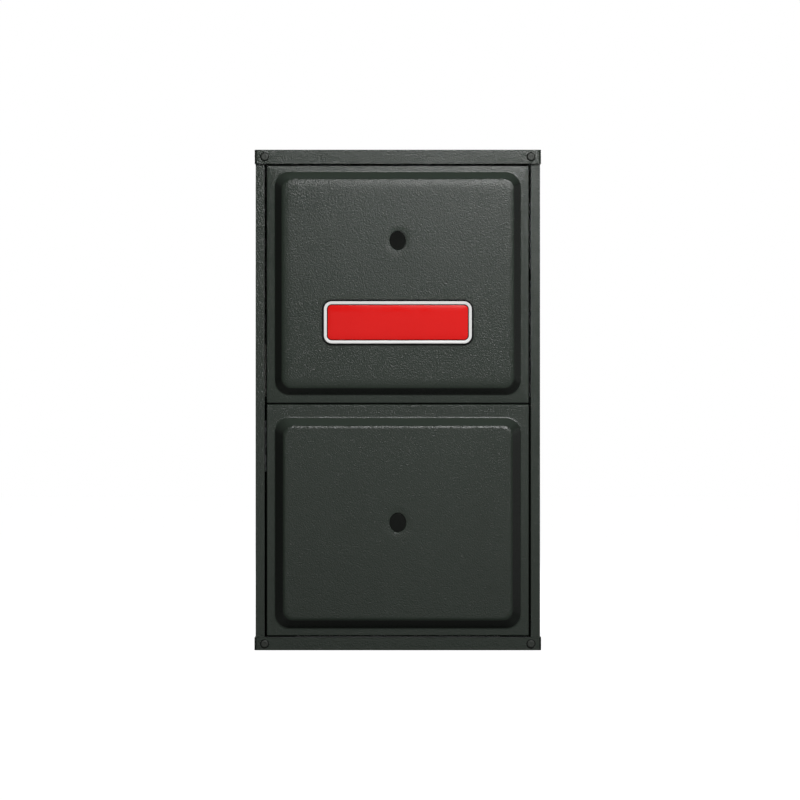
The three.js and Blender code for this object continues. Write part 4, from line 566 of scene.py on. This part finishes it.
grey_plastic = moulded("grey_polypropylene", (0.12, 0.13, 0.14), (0.18, 0.19, 0.20), 0.45, 1.2)
softened("collector_moulding", "collector_box", 1.2, grey_plastic, 3)

# ------------------------------------------------------------ burners and gas train
# Pressed burners with a throat and a flared mouth stand in an aluminized box. The gas runs from a black
# iron pipe through a die-cast valve into a manifold with one spud to each burner.


POINT_RADIUS = 0.02               # of the smallest ring, which closes a turned piece on its axis


def centre_line(node, axis):
    """A CAD node's box, and the line along the axis through its middle."""
    low, high = extent(node)
    centre = [(start + end) / 2 for start, end in zip(low, high)]
    centre["xyz".index(axis)] = 0
    return low, high, centre


def turned(name, axis, centre, profile, sides=48, smooth_angle=40):
    """A piece turned about an axis through the centre, from (radius, distance) pairs. It joins up with
    itself where its first and last pairs are the same, and is closed on the axis otherwise."""
    along = Vector({"x": (1, 0, 0), "y": (0, 1, 0), "z": (0, 0, 1)}[axis])
    first = Vector((along.z, along.x, along.y))
    second = along.cross(first)
    centre = Vector(centre)
    closed = profile[0] == profile[-1]
    pairs = profile[:-1] if closed else profile
    rings = [circle(centre + along * distance, first, second, max(radius, POINT_RADIUS), sides)
             for radius, distance in pairs]
    return through_rings(name, rings, closed, smooth_angle)


def scaled(radius, outline):
    """An outline given in shares of a radius."""
    return [(share * radius, along) for share, along in outline]


softened("burner_box_folded", "burner_box", 0.5, aluminized)
for number in range(1, 5):
    burner = f"burner_{number}"
    low, high, centre = centre_line(burner, "y")
    front, back = low.y, high.y
    long = back - front
    outline = [(11.2, front), (13.6, front), (14.0, front + 1.0), (12.6, front + 0.14 * long),
               (10.5, front + 0.3 * long), (12.2, front + 0.48 * long), (14.0, front + 0.75 * long),
               (14.0, back - 2.6), (14.8, back - 2.0), (20.0, back - 2.0), (20.0, back), (12.5, back),
               (12.5, front + 0.75 * long), (10.7, front + 0.48 * long), (9.0, front + 0.3 * long),
               (11.1, front + 0.14 * long), (11.2, front)]
    dressed(turned(burner + "_pressed", "y", centre, outline), aluminized, burner)

ceramic = moulded("fired_ceramic", (0.60, 0.55, 0.46), (0.74, 0.70, 0.62), 0.55, 0.6)
for rod in ("hot_surface_igniter", "flame_sensor"):
    softened(rod + "_fired", rod, 0.4, ceramic)

black_plastic = moulded("black_phenolic", (0.014, 0.014, 0.015), (0.032, 0.032, 0.034), 0.42, 1.0)
red_plastic = moulded("red_nylon", (0.42, 0.020, 0.014), (0.52, 0.036, 0.026), 0.35, 1.0)
for switch in ("rollout_switch", "limit_switch"):
    softened(switch + "_can", switch, 0.5, black_plastic)
low, high, centre = centre_line("rollout_reset_button", "z")
button = turned("rollout_button_turned", "z", centre, [
    (0, low.z), (2.6, low.z), (2.6, high.z - 1.2), (2.2, high.z - 0.4), (1.4, high.z), (0, high.z)], 24)
dressed(button, red_plastic, "rollout_reset_button")

cast_aluminium = ribbed("die_cast_aluminium", (0.38, 0.38, 0.38), (0.52, 0.52, 0.53), 0.48, 0.3,
                        (1, 1, 1))
softened("gas_valve_casting", "gas_valve", 1.6, cast_aluminium, 3)
softened("gas_knob_moulding", "gas_valve_knob", 0.6, red_plastic, 3)

iron = Finish("oiled_black_iron", {"Metallic": 0.55})
scale = iron.noise(120, 5, 0.6)
spots = iron.noise(26, 4)
rust = iron.node("ShaderNodeMapRange", {"Value": spots, "From Min": 0.56, "From Max": 0.72})
oiled = iron.between(scale, (0.018, 0.018, 0.019), (0.050, 0.049, 0.048))
black_iron = iron.wear(iron.between(rust * 0.5, oiled, (0.075, 0.038, 0.020)), 0.38 + scale * 0.25,
                       normal=iron.relief(scale, 0.5, 0.25 * MM))

low, high = extent("gas_manifold")
PIPE_RADIUS = 10.6
PIPE_BORE = 8.1
pipe_y = low.y + PIPE_RADIUS
pipe_z = low.z + PIPE_RADIUS
manifold = turned("manifold_pipe", "x", (0, pipe_y, pipe_z), [
    (0, low.x), (PIPE_RADIUS - 0.8, low.x), (PIPE_RADIUS, low.x + 0.8), (PIPE_RADIUS, high.x - 5),
    (PIPE_RADIUS - 1.5, high.x - 1.5), (PIPE_RADIUS - 5, high.x), (0, high.x)])
dressed(manifold, black_iron, "gas_manifold")
burner_seats = [(centre_line(f"burner_{number}", "y")[2][0], 0, 0) for number in range(1, 5)]
boss = turned("manifold_boss", "y", (0, pipe_y, pipe_z), [
    (0, 0), (8, 0), (8, 16.6), (7.2, 17.6), (0, 17.6)], 6)
copied("manifold_bosses", boss, burner_seats, black_iron, "gas_manifold")
spud_end = high.y - pipe_y
spud = turned("manifold_spud", "y", (0, pipe_y, pipe_z), [
    (0, 4), (5, 4), (5, spud_end - 1), (4.2, spud_end), (0, spud_end)], 24)
copied("manifold_spuds", spud, burner_seats, black_iron, "gas_manifold")

low, high = extent("gas_inlet_pipe")
inlet = turned("gas_inlet_turned", "x", (0, pipe_y, pipe_z), [
    (PIPE_BORE, low.x), (PIPE_RADIUS - 0.6, low.x), (PIPE_RADIUS, low.x + 0.6), (PIPE_RADIUS, high.x),
    (PIPE_BORE, high.x), (PIPE_BORE, low.x)])
dressed(inlet, black_iron, "gas_inlet_pipe")

# ------------------------------------------------------------ inducer, vent and air
# A moulded scroll with a plastic wheel on a ground shaft, driven by a small enamelled motor. White plastic
# pipes take the flue gas out and bring the burners their air. A thin rubber hose proves the draught.

softened("inducer_scroll", "inducer_housing", 0.8, black_plastic)
softened("inducer_wheel_moulding", "inducer_wheel", 0.4, grey_plastic)


def ground_bar(name, node, axis, radius, finish):
    """A round bar with its ends chamfered."""
    low, high, centre = centre_line(node, axis)
    start, end = low["xyz".index(axis)], high["xyz".index(axis)]
    chamfer = 0.6
    bar = turned(name, axis, centre, [
        (0, start), (radius - chamfer, start), (radius, start + chamfer), (radius, end - chamfer),
        (radius - chamfer, end), (0, end)])
    dressed(bar, finish, node)


ground_steel = ribbed("ground_steel", (0.42, 0.43, 0.44), (0.56, 0.57, 0.58), 0.24, 0.05, (0.05, 1, 1))
ground_bar("inducer_shaft_ground", "inducer_shaft", "y", 4, ground_steel)

enamel = moulded("black_motor_enamel", (0.013, 0.014, 0.016), (0.026, 0.028, 0.031), 0.30, 2.0,
                 {"Coat Weight": 0.3, "Coat Roughness": 0.2})
low, high, centre = centre_line("inducer_motor", "y")
end, seat = low.y, high.y
INDUCER_MOTOR_RADIUS = 45
ribs = []
for ring in range(4):
    start = end + 26 + ring * 4.6
    ribs += [(0.93, start), (0.99, start + 0.6), (0.99, start + 2.4), (0.93, start + 3)]
outline = [(0, end), (0.42, end), (0.46, end + 1.5), (0.5, end + 6), (0.8, end + 7.5), (0.88, end + 10),
           (0.92, end + 15), *ribs, (0.92, end + 45), (0.92, seat - 6.5), (0.96, seat - 5),
           (1.09, seat - 4.5), (1.1, seat - 3.5), (1.1, seat)]
can = turned("inducer_motor_turned", "y", centre, [
    *scaled(INDUCER_MOTOR_RADIUS, outline), (4.3, seat), (4.3, seat - 12), (0, seat - 12)], 64)
dressed(can, enamel, "inducer_motor")

white_plastic = moulded("white_vinyl", (0.66, 0.65, 0.61), (0.76, 0.755, 0.72), 0.38, 3.0)
VENT_BORE = 26
pipe_top = [(30, -1.2), (29, 0), (26.6, 0), (VENT_BORE, -0.8)]     # radius, and height above the end
for name, pipe, foot in (
        ("vent_pipe_turned", "vent_pipe", [(29.2, 0), (30, 0.8)]),
        ("air_pipe_turned", "air_intake_pipe",
         [(40, 0), (40, 2.4), (39.4, 3), (32, 3), (30.4, 4), (30, 6)])):
    low, high, centre = centre_line(pipe, "z")
    outside = [(radius, low.z + rise) for radius, rise in foot]
    outside += [(radius, high.z + rise) for radius, rise in pipe_top]
    profile = [(VENT_BORE, low.z), *outside, (VENT_BORE, low.z)]
    dressed(turned(name, "z", centre, profile, 64), white_plastic, pipe)

low, high, centre = centre_line("pressure_switch", "y")
NIPPLE = 10
CAN_RADIUS = 34
front, seat = low.y + NIPPLE, high.y
can = turned("pressure_can", "y", centre, [
    (0, front - NIPPLE), (2.6, front - NIPPLE), (3, front - 9.4), (3, front), (CAN_RADIUS - 8, front),
    (CAN_RADIUS - 7, front + 1), (CAN_RADIUS - 4, front + 7), (CAN_RADIUS - 0.5, front + 7.6),
    (CAN_RADIUS, front + 8.2), (CAN_RADIUS, front + 12.8), (CAN_RADIUS - 0.5, front + 13.4),
    (CAN_RADIUS - 4, front + 14), (CAN_RADIUS - 6, seat), (0, seat)])
dressed(can, grey_plastic, "pressure_switch")
plug = bevelled_boxes("pressure_terminals", [((centre[0] - 9, front - 5, centre[2] + 10),
                                              (centre[0] + 9, front + 1, centre[2] + 24))], 0.8)
dressed(plug, black_plastic, "pressure_switch")

rubber = moulded("black_rubber", (0.012, 0.012, 0.012), (0.026, 0.026, 0.026), 0.62, 0.8)
hose_low, hose_high = extent("pressure_hose")
HOSE_RADIUS = 4
crossing_y = hose_low.y + HOSE_RADIUS
far_x = hose_high.x - HOSE_RADIUS
nipple_end = extent("collector_box")[0].y - 0.3
hose = [(centre[0], front - NIPPLE - 0.3, centre[2]), (centre[0], crossing_y, centre[2]),
        (far_x, crossing_y, centre[2]), (far_x, nipple_end, centre[2])]
dressed(bent_pipe("pressure_hose_bent", hose, (0, 0, 1), 16, HOSE_RADIUS, 0, 20), rubber, "pressure_hose")

# ------------------------------------------------------------ drain
# A moulded trap stands on the deck and is reached by a short bend of rubber hose. Its outlet goes out
# through the left side of the cabinet.

softened("trap_moulding", "condensate_trap", 1.0, white_plastic, 3)
low, high = extent("condensate_hose")
drain_z = (low.z + high.z) / 2
DRAIN_RADIUS = 9
drain = [(high.x, high.y - DRAIN_RADIUS, drain_z), (low.x + DRAIN_RADIUS, high.y - DRAIN_RADIUS, drain_z),
         (low.x + DRAIN_RADIUS, low.y, drain_z)]
drain_hose = bent_pipe("condensate_hose_bent", drain, (0, 0, 1), 22, DRAIN_RADIUS, 6.5, 24)
dressed(drain_hose, rubber, "condensate_hose")

# ------------------------------------------------------------ blower
# A rolled scroll of zinc-coated sheet with a double-inlet wheel. The blades are pressed strips held
# between two rings and a centre disc. The motor hangs in the right eye from a band with three arms.

softened("blower_scroll", "blower_housing", 0.4, zinc)

low, high, wheel_middle = centre_line("blower_wheel", "x")
half = (high.x - low.x) / 2
WHEEL_RADIUS = 127
WHEEL_EYE = 112
WHEEL_BORE = 6.65
HUB_RADIUS = 18
wheel_rings = [turned("wheel_ring", "x", wheel_middle, [
    (WHEEL_EYE, side * half), (WHEEL_RADIUS - 0.6, side * half), (WHEEL_RADIUS, side * (half - 0.8)),
    (WHEEL_RADIUS, side * (half - 4)), (WHEEL_EYE, side * (half - 4)), (WHEEL_EYE, side * half)], 96)
    for side in (-1, 1)]
disc = turned("wheel_disc", "x", wheel_middle, [
    (WHEEL_BORE, -17), (17.4, -17), (HUB_RADIUS, -16.4), (HUB_RADIUS, -1.5), (WHEEL_EYE + 2, -1.5),
    (WHEEL_EYE + 2, 1.5), (HUB_RADIUS, 1.5), (HUB_RADIUS, 16.4), (17.4, 17), (WHEEL_BORE, 17),
    (WHEEL_BORE, -17)], 96)
for piece in (*wheel_rings, disc):
    dressed(piece, zinc, "blower_wheel")
BLADES = 44
BLADE_DEPTH = 14.5
BLADE_SWEEP = 9
HALF_BLADE = 0.4
arc = [(WHEEL_EYE + BLADE_DEPTH * share, BLADE_SWEEP * share * share) for share in (0, 0.25, 0.5, 0.75, 1)]
section = [(out, sweep + HALF_BLADE) for out, sweep in arc]
section += [(out, sweep - HALF_BLADE) for out, sweep in reversed(arc)]
blade_ends = [[(x, out, sweep) for out, sweep in section] for x in (1 - half, half - 1)]
blade = through_rings("wheel_blade", blade_ends, False, 60)
copied("wheel_blades", blade, [wheel_middle] * BLADES, zinc, "blower_wheel",
       turn=(2 * math.pi / BLADES, 0, 0))

ground_bar("blower_shaft_ground", "blower_shaft", "x", 6.35, ground_steel)
low, high = extent("blower_motor")
nose, end = low.x, high.x
BLOWER_MOTOR_RADIUS = 70
outline = [(0.28, nose), (0.3, nose + 0.6), (0.35, nose + 6), (0.88, nose + 8), (0.93, nose + 9),
           (0.985, nose + 12), (1, nose + 16), (1, nose + 30), (0.985, nose + 31), (0.985, end - 31),
           (1, end - 30), (1, end - 16), (0.985, end - 12), (0.9, end - 8.5), (0.3, end - 6),
           (0.27, end - 1), (0.25, end), (0, end)]
motor = turned("blower_motor_turned", "x", wheel_middle, [
    (WHEEL_BORE, nose + 20), (WHEEL_BORE, nose), *scaled(BLOWER_MOTOR_RADIUS, outline)], 64)
dressed(motor, enamel, "blower_motor")
softened("motor_band", "motor_mount", 0.6, ground_steel)

# ------------------------------------------------------------ controls
# Behind the lower door hangs a zinc-coated plate with the printed board and the transformer. Relays and
# plugs stand on the board. A wiring box is on the left and the door's safety switch is under the deck.

softened("control_plate_folded", "control_plate", 0.4, zinc)
softened("junction_box_folded", "junction_box", 0.5, zinc)
softened("door_switch_body", "door_switch", 0.8, black_plastic)
ground_bar("plunger_moulded", "door_switch_plunger", "y", 3, white_plastic)

low, high = extent("control_board")
middle_x, board_z = (low.x + high.x) / 2, (low.z + high.z) / 2
wide, tall = high.x - low.x, high.z - low.z
STANDOFF = 8
BOARD_SHEET = 1.6
TALLEST_COMPONENT = 20
face = high.y - STANDOFF - BOARD_SHEET
mask = Finish("green_solder_mask", {"Coat Weight": 0.4, "Coat Roughness": 0.15})
upright = mask.node("ShaderNodeMapping", {"Vector": mask.place, "Rotation": (math.pi / 2, 0, 0)})
lanes = mask.node("ShaderNodeTexBrick", {
    "Vector": upright, "Scale": 60.0, "Mortar Size": 0.035, "Color1": (0.010, 0.075, 0.026, 1),
    "Color2": (0.013, 0.085, 0.030, 1), "Mortar": (0.030, 0.16, 0.055, 1)}, "Color")
laminate = mask.wear(mask.between(mask.noise(80, 2) * 0.4, lanes, (0.008, 0.06, 0.022)),
                     0.35 + mask.noise(300, 2) * 0.15)
board_box = ((low.x, face, low.z), (high.x, face + BOARD_SHEET, high.z))
dressed(bevelled_boxes("board_laminate", [board_box], 0.3), laminate, "control_board")


def board_boxes(name, finish, shares):
    """Components on the board by their middle, size and rise, in shares of the board and of the tallest."""
    boxes = []
    for x, z, width, height, rise in shares:
        boxes.append(((middle_x + (x - width / 2) * wide, face - rise * TALLEST_COMPONENT,
                       board_z + (z - height / 2) * tall),
                      (middle_x + (x + width / 2) * wide, face + 0.4, board_z + (z + height / 2) * tall)))
    dressed(bevelled_boxes(name, boxes, 0.7), finish, "control_board")


board_boxes("board_relays", black_plastic, [
    (-0.355, 0.293, 0.129, 0.187, 0.9), (-0.183, 0.293, 0.129, 0.187, 0.9),
    (-0.183, -0.093, 0.14, 0.173, 0.2), (0, 0, 0.065, 0.08, 0.45), (0.16, -0.05, 0.05, 0.05, 0.12),
    (0.2, 0.12, 0.03, 0.06, 0.1)])
board_boxes("board_plugs", white_plastic, [
    (0.312, 0.32, 0.237, 0.093, 0.6), (-0.387, -0.04, 0.075, 0.333, 0.55),
    (-0.108, -0.373, 0.452, 0.08, 0.6), (0.29, -0.36, 0.183, 0.107, 0.45)])
board_boxes("board_power_relay", grey_plastic, [
    (0.022, 0.307, 0.161, 0.147, 1), (0.366, 0.013, 0.118, 0.293, 0.75)])
tab = bevelled_boxes("spade_terminal", [((-0.4, -5.5, -3), (0.4, 2, 3))], 0.15, 1)
tab_places = (-0.30, -0.26, -0.22, -0.18, -0.14, -0.10, -0.06, -0.02, 0.02, 0.06, 0.09)
tab_seats = [(middle_x + x * wide, face - 12, board_z - 0.373 * tall) for x in tab_places]
tabs = copied("spade_terminals", tab, tab_seats, ground_steel, "control_board")
standoff = turned("standoff", "y", (0, 0, 0), [
    (0, 0), (3.6, 0), (4, 0.4), (4, STANDOFF), (0, STANDOFF)], 24)
CORNER_INSET = 8
corner_seats = [(middle_x + side * (wide / 2 - CORNER_INSET), face + BOARD_SHEET,
                 board_z + up * (tall / 2 - CORNER_INSET)) for side in (-1, 1) for up in (-1, 1)]
standoffs = copied("standoffs", standoff, corner_seats, white_plastic, "control_board")

low, high = extent("transformer")
core = bevelled_boxes("transformer_core", [
    ((low.x + 8, low.y + 6, low.z + 8), (high.x - 8, high.y, high.z - 8)),
    ((low.x, high.y - 1.5, low.z + 14), (high.x, high.y, high.z - 14))], 0.5)
dressed(core, black_iron, "transformer")
tape = moulded("winding_tape", (0.50, 0.33, 0.06), (0.60, 0.42, 0.10), 0.4, 2.0)
winding_box = ((low.x + 20, low.y, low.z), (high.x - 20, high.y - 4, high.z))
dressed(bevelled_boxes("transformer_winding", [winding_box], 3, 4), tape, "transformer")

# ------------------------------------------------------------ rails and screws
# The top and bottom rails are bent from thicker sheet and wrap round the corners. Each is held by two
# screws with wide shallow heads, coated in the rail's colour, on black washers, which are painted shadow
# in the gap round each head.

for rail, width in (("top_front_rail", 1.1), ("bottom_front_rail", 0.35)):
    softened(rail + "_coated", rail, width, door_coat, 3)

screws = ("top_screw_left", "top_screw_right", "bottom_screw_left", "bottom_screw_right")
HEAD_RISE = 2.6
screw_seats = []
for screw in screws:
    low, high, centre = centre_line(screw, "y")
    screw_seats.append((centre[0], low.y + HEAD_RISE, centre[2]))
screw_shape = turned("rail_screw", "y", (0, 0, 0), [
    (0, -2.2), (2.0, -2.2), (2.2, -1.7), (2.9, -1.7), (3.1, -2.5), (4.2, -2.6), (5.4, -2.45), (6.1, -2.1),
    (6.4, -1.5), (6.4, -0.92), (2.4, -0.92), (2.4, 13.2), (0.6, 15.6), (0, 15.6)], 40, 30)
screw_coat = moulded("screw_coat", (0.022, 0.027, 0.021), (0.036, 0.042, 0.035), 0.46, 1.4)
copied("rail_screws", screw_shape, screw_seats, screw_coat, *screws, scatter=2.0)
# Near-black: the door seals, and painted shadow round the screw heads and the badge.
seal_and_shadow_black = moulded("black_seal_and_painted_shadow", (0.002, 0.002, 0.002), (0.005, 0.005, 0.005), 0.7, 1.0,
                     {"Specular IOR Level": 0.12})
# Painted shadow: a near-black washer ring round each head stands for the shadow in the gap under it.
shadow_washer = turned("sealing_washer", "y", (0, 0, 0), [
    (5.4, 0), (5.4, -0.9), (7.1, -0.9), (7.6, -0.6), (7.8, -0.1), (7.8, 0), (5.4, 0)], 40, 30)
shadow_washers = copied("rail_screw_washers", shadow_washer, screw_seats, seal_and_shadow_black, *screws)

# ------------------------------------------------------------ door seals
# Strips of black foam on the base pan's lip and on the deck's front flange. The doors close against them,
# so no light comes through the seams. Their near-black colour is also painted shade in the seams.

SEAL_MARGIN = 1.5
base_low, base_high = extent("base_pan")
deck_low, deck_high = extent("blower_deck")
base_strip = ((base_low.x + SEAL_MARGIN, base_low.y - 0.15, base_high.z - 0.45),
              (base_high.x - SEAL_MARGIN, base_low.y + 1.35, base_high.z + 1.15))
deck_strip = ((deck_low.x + SEAL_MARGIN, deck_low.y - 1.8, deck_high.z - 13.3),
              (deck_high.x - SEAL_MARGIN, deck_low.y + 0.1, deck_high.z + 0.1))
for name, node, strip in (("base_seal", "base_pan", base_strip), ("deck_seal", "blower_deck", deck_strip)):
    seal = dressed(bevelled_boxes(name, [strip], 0.05, 1), seal_and_shadow_black, node)

# ------------------------------------------------------------ doors
# Each door is one pressed sheet: a rim bent back on all four sides, and a raised panel with soft shoulders
# that fills most of its face. The sight hole's edge is rolled inwards.

CORNER_STEPS = 10
EDGE_STEPS = 8
SHOULDER_STEPS = 40
ROLL_STEPS = 4
SHARPEST_CORNER = 0.3
DOOR_SHEET = 1.2
DOOR_RIM_DEPTH = 12
SIGHT_HOLE = (27.3, 33)
HOLE_SURROUND = 14


def rounded_loop(half_x, half_z, radius, middle_z, y):
    """A rectangle with round corners, anticlockwise from the middle of its right side."""
    quarter = []
    for step in range(EDGE_STEPS):
        quarter.append((half_x, (half_z - radius) * step / EDGE_STEPS))
    for step in range(CORNER_STEPS):
        angle = math.pi / 2 * step / CORNER_STEPS
        quarter.append((half_x - radius + radius * math.cos(angle),
                        half_z - radius + radius * math.sin(angle)))
    for step in range(EDGE_STEPS):
        quarter.append(((half_x - radius) * (1 - step / EDGE_STEPS), half_z))
    upper = quarter + [(0, half_z)] + [(-x, z) for x, z in reversed(quarter[1:])] + [(-half_x, 0)]
    points = upper + [(x, -z) for x, z in reversed(upper[1:-1])]
    return [(x, y, middle_z + z) for x, z in points]


def oval_loop(half_x, half_z, middle_z, y, count):
    turns = [2 * math.pi * i / count for i in range(count)]
    return [(half_x * math.cos(turn), y, middle_z + half_z * math.sin(turn)) for turn in turns]


def pressed_shoulder(steepness, depth):
    """The way a pressed shoulder rises, as (millimetres across, height) pairs, from how steep it is at each
    place across."""
    places = [steepness[-1][0] * step / SHOULDER_STEPS for step in range(SHOULDER_STEPS + 1)]
    slopes = []
    for place in places:
        stretches = zip(steepness, steepness[1:])
        (start, first), (end, last) = next(pair for pair in stretches if place <= pair[1][0] + 1e-6)
        slopes.append(first + (last - first) * (place - start) / (end - start))
    heights = [0]
    for before, after in zip(slopes, slopes[1:]):
        heights.append(heights[-1] + (before + after) / 2)
    return [(place, depth * height / heights[-1]) for place, height in zip(places, heights)]


def pressed_door(name, node, glass_node, rims, gaps, steepness, planished):
    """The door's outer skin from its bent-back edge to the sight hole, with a second skin one sheet inside.
    rims and gaps are (top, bottom): how far in the panel starts, and how far the coated edge stays off its
    neighbour. A planished rim is flat right up to its bends."""
    low, high = extent(node)
    glass_low, glass_high = extent(glass_node)
    sight_z = (glass_low.z + glass_high.z) / 2
    half_x, half_z = high.x, (high.z - low.z - sum(gaps)) / 2
    middle, back_y, face_y = (high.z - gaps[0] + low.z + gaps[1]) / 2, high.y, low.y
    rim_y = back_y - DOOR_RIM_DEPTH
    corner, turn_radius, side_rim, panel_corner, roll = 3, 2.4, 13.5, 26, 1.8
    flat = 0.4
    panel_x, panel_z = half_x - side_rim, (high.z - low.z - sum(rims)) / 2
    panel_middle = (high.z + low.z - rims[0] + rims[1]) / 2
    roll_turns = [math.pi / 2 * step / ROLL_STEPS for step in range(ROLL_STEPS + 1)]

    def rim_loop(drawn_in, radius, y):
        return rounded_loop(half_x - drawn_in, half_z - drawn_in, radius, middle, y)

    def skin(inset):
        loops = [rim_loop(inset, corner - inset, back_y),
                 rim_loop(inset, corner - inset, rim_y + 2 * turn_radius)]
        bend = max(turn_radius - inset, 0.1)
        for turn in roll_turns:
            drawn_in = inset + bend * (1 - math.cos(turn))
            loops.append(rim_loop(drawn_in, max(corner - drawn_in, SHARPEST_CORNER),
                                  rim_y + inset + bend * (1 - math.sin(turn))))
        if planished:
            loops.append(rim_loop(turn_radius + flat, SHARPEST_CORNER, rim_y + inset))
            loops.append(rounded_loop(panel_x + flat, panel_z + flat, panel_corner + flat, panel_middle,
                                      rim_y + inset))
        for across, rise in pressed_shoulder(steepness, rim_y - face_y):
            tucked = across + inset * 0.5
            loops.append(rounded_loop(panel_x - tucked, panel_z - tucked, panel_corner - tucked / 2,
                                      panel_middle, rim_y + inset - rise))
        count = len(loops[0])
        hole_x, hole_z = SIGHT_HOLE[0] / 2, SIGHT_HOLE[1] / 2
        loops.append(oval_loop(hole_x + HOLE_SURROUND, hole_z + HOLE_SURROUND, sight_z, face_y + inset,
                               count))
        for turn in roll_turns:
            wider = roll * (1 - math.sin(turn))
            deeper = roll * (1 - math.cos(turn)) if not inset else 0
            loops.append(oval_loop(hole_x + wider, hole_z + wider, sight_z, face_y + inset + deeper, count))
        return loops

    outside, inside = skin(0), skin(DOOR_SHEET)
    dressed(through_rings(name, outside + inside[::-1], True, 50), door_coat, node)


pressed_door("upper_door_pressed", "upper_door", "upper_sight_glass", (11.5, 13.5), (1.3, 0.35),
             ((0, 0), (3, 1), (12.5, 1), (14, 0.38), (17, 0.28), (20, 0.15), (27, 0.05), (34, 0)), False)
pressed_door("lower_door_pressed", "lower_door", "lower_sight_glass", (21.5, 13), (0.35, 0.9),
             ((0, 0), (3, 1), (15, 1), (16.4, 0.48), (18.8, 0.38), (20.3, 0.08), (24, 0)), True)

# ------------------------------------------------------------ sight glasses, badge
# The sight holes have a smooth dark lens pushed in from behind. The badge is a moulded plate with a white
# raised rim round a plain red field, which is glossy and slightly domed, and stands on a thin black gasket.
# The gasket's near-black edge, which reaches past the plate, is painted shadow round the badge.

lens = moulded("dark_lens", (0.006, 0.007, 0.006), (0.010, 0.011, 0.010), 0.12, 3.0,
               {"Specular IOR Level": 0.06})
LENS_SEAT = 1.2
for glass in ("upper_sight_glass", "lower_sight_glass"):
    low, high = extent(glass)
    sight_z = (low.z + high.z) / 2
    front, seat, back = low.y, low.y + LENS_SEAT, high.y
    outline = [(0.05, 0.05, back), (17.65, 20.5, back), (17.65, 20.5, seat), (13.35, 16.2, seat),
               (13.35, 16.2, front + 0.3), (13.1, 15.95, front + 0.2), (0.05, 0.05, front)]
    loops = [oval_loop(half_wide, half_tall, sight_z, y, 64) for half_wide, half_tall, y in outline]
    dressed(through_rings(glass + "_lens", loops, False, 8), lens, glass)

low, high = extent("badge_plate")
badge_x, badge_z, badge_middle = high.x, (high.z - low.z) / 2, (high.z + low.z) / 2
front, back = low.y, high.y
BADGE_CORNER = 15
SHADOW_GASKET_EDGE = -2.0                # insets from the plate's outline, in millimetres
RIM_START = 1.1
RIM_END = 6.4
FIELD_START = 7.9
rim_seat = front + 1.98
shadow_gasket_face = front + 2.0


def stepped_plate(name, levels, ring=False):
    """A plate or a ring in the badge's outline, from (inset, y) pairs."""
    loops = [rounded_loop(badge_x - inset, badge_z - inset, max(BADGE_CORNER - inset, SHARPEST_CORNER),
                          badge_middle, y) for inset, y in levels]
    return through_rings(name, loops, ring, 35)


# Painted shadow: the gasket's black edge stands 2 mm past the plate as the badge's dark outline.
gasket_painted_shadow = dressed(stepped_plate("badge_gasket", [
    (SHADOW_GASKET_EDGE + 0.2, back), (SHADOW_GASKET_EDGE, back - 0.2), (SHADOW_GASKET_EDGE, front + 2.3),
    (SHADOW_GASKET_EDGE + 0.3, shadow_gasket_face), (FIELD_START + 1, shadow_gasket_face)]), seal_and_shadow_black, "badge_plate")

badge_white = moulded("badge_white", (0.84, 0.84, 0.83), (0.90, 0.90, 0.89), 0.30, 4.0)
rim_piece = dressed(stepped_plate("badge_rim", [
    (RIM_START, rim_seat), (RIM_START, front + 0.9), (RIM_START + 0.1, front + 0.3),
    (RIM_START + 0.5, front), (RIM_END - 0.5, front), (RIM_END - 0.1, front + 0.25),
    (RIM_END, front + 0.8), (RIM_END, rim_seat)], True), badge_white, "badge_plate")

badge_red = moulded("badge_red", (0.80, 0.005, 0.004), (0.88, 0.008, 0.006), 0.18, 5.0,
                    {"Specular IOR Level": 0.2})
dressed(stepped_plate("badge_field", [
    (FIELD_START, rim_seat), (FIELD_START, front + 0.9), (FIELD_START + 0.2, front + 0.5),
    (FIELD_START + 0.7, front + 0.35), (FIELD_START + 15, front + 0.3), (badge_z - 0.4, front + 0.25)]),
    badge_red, "badge_plate")
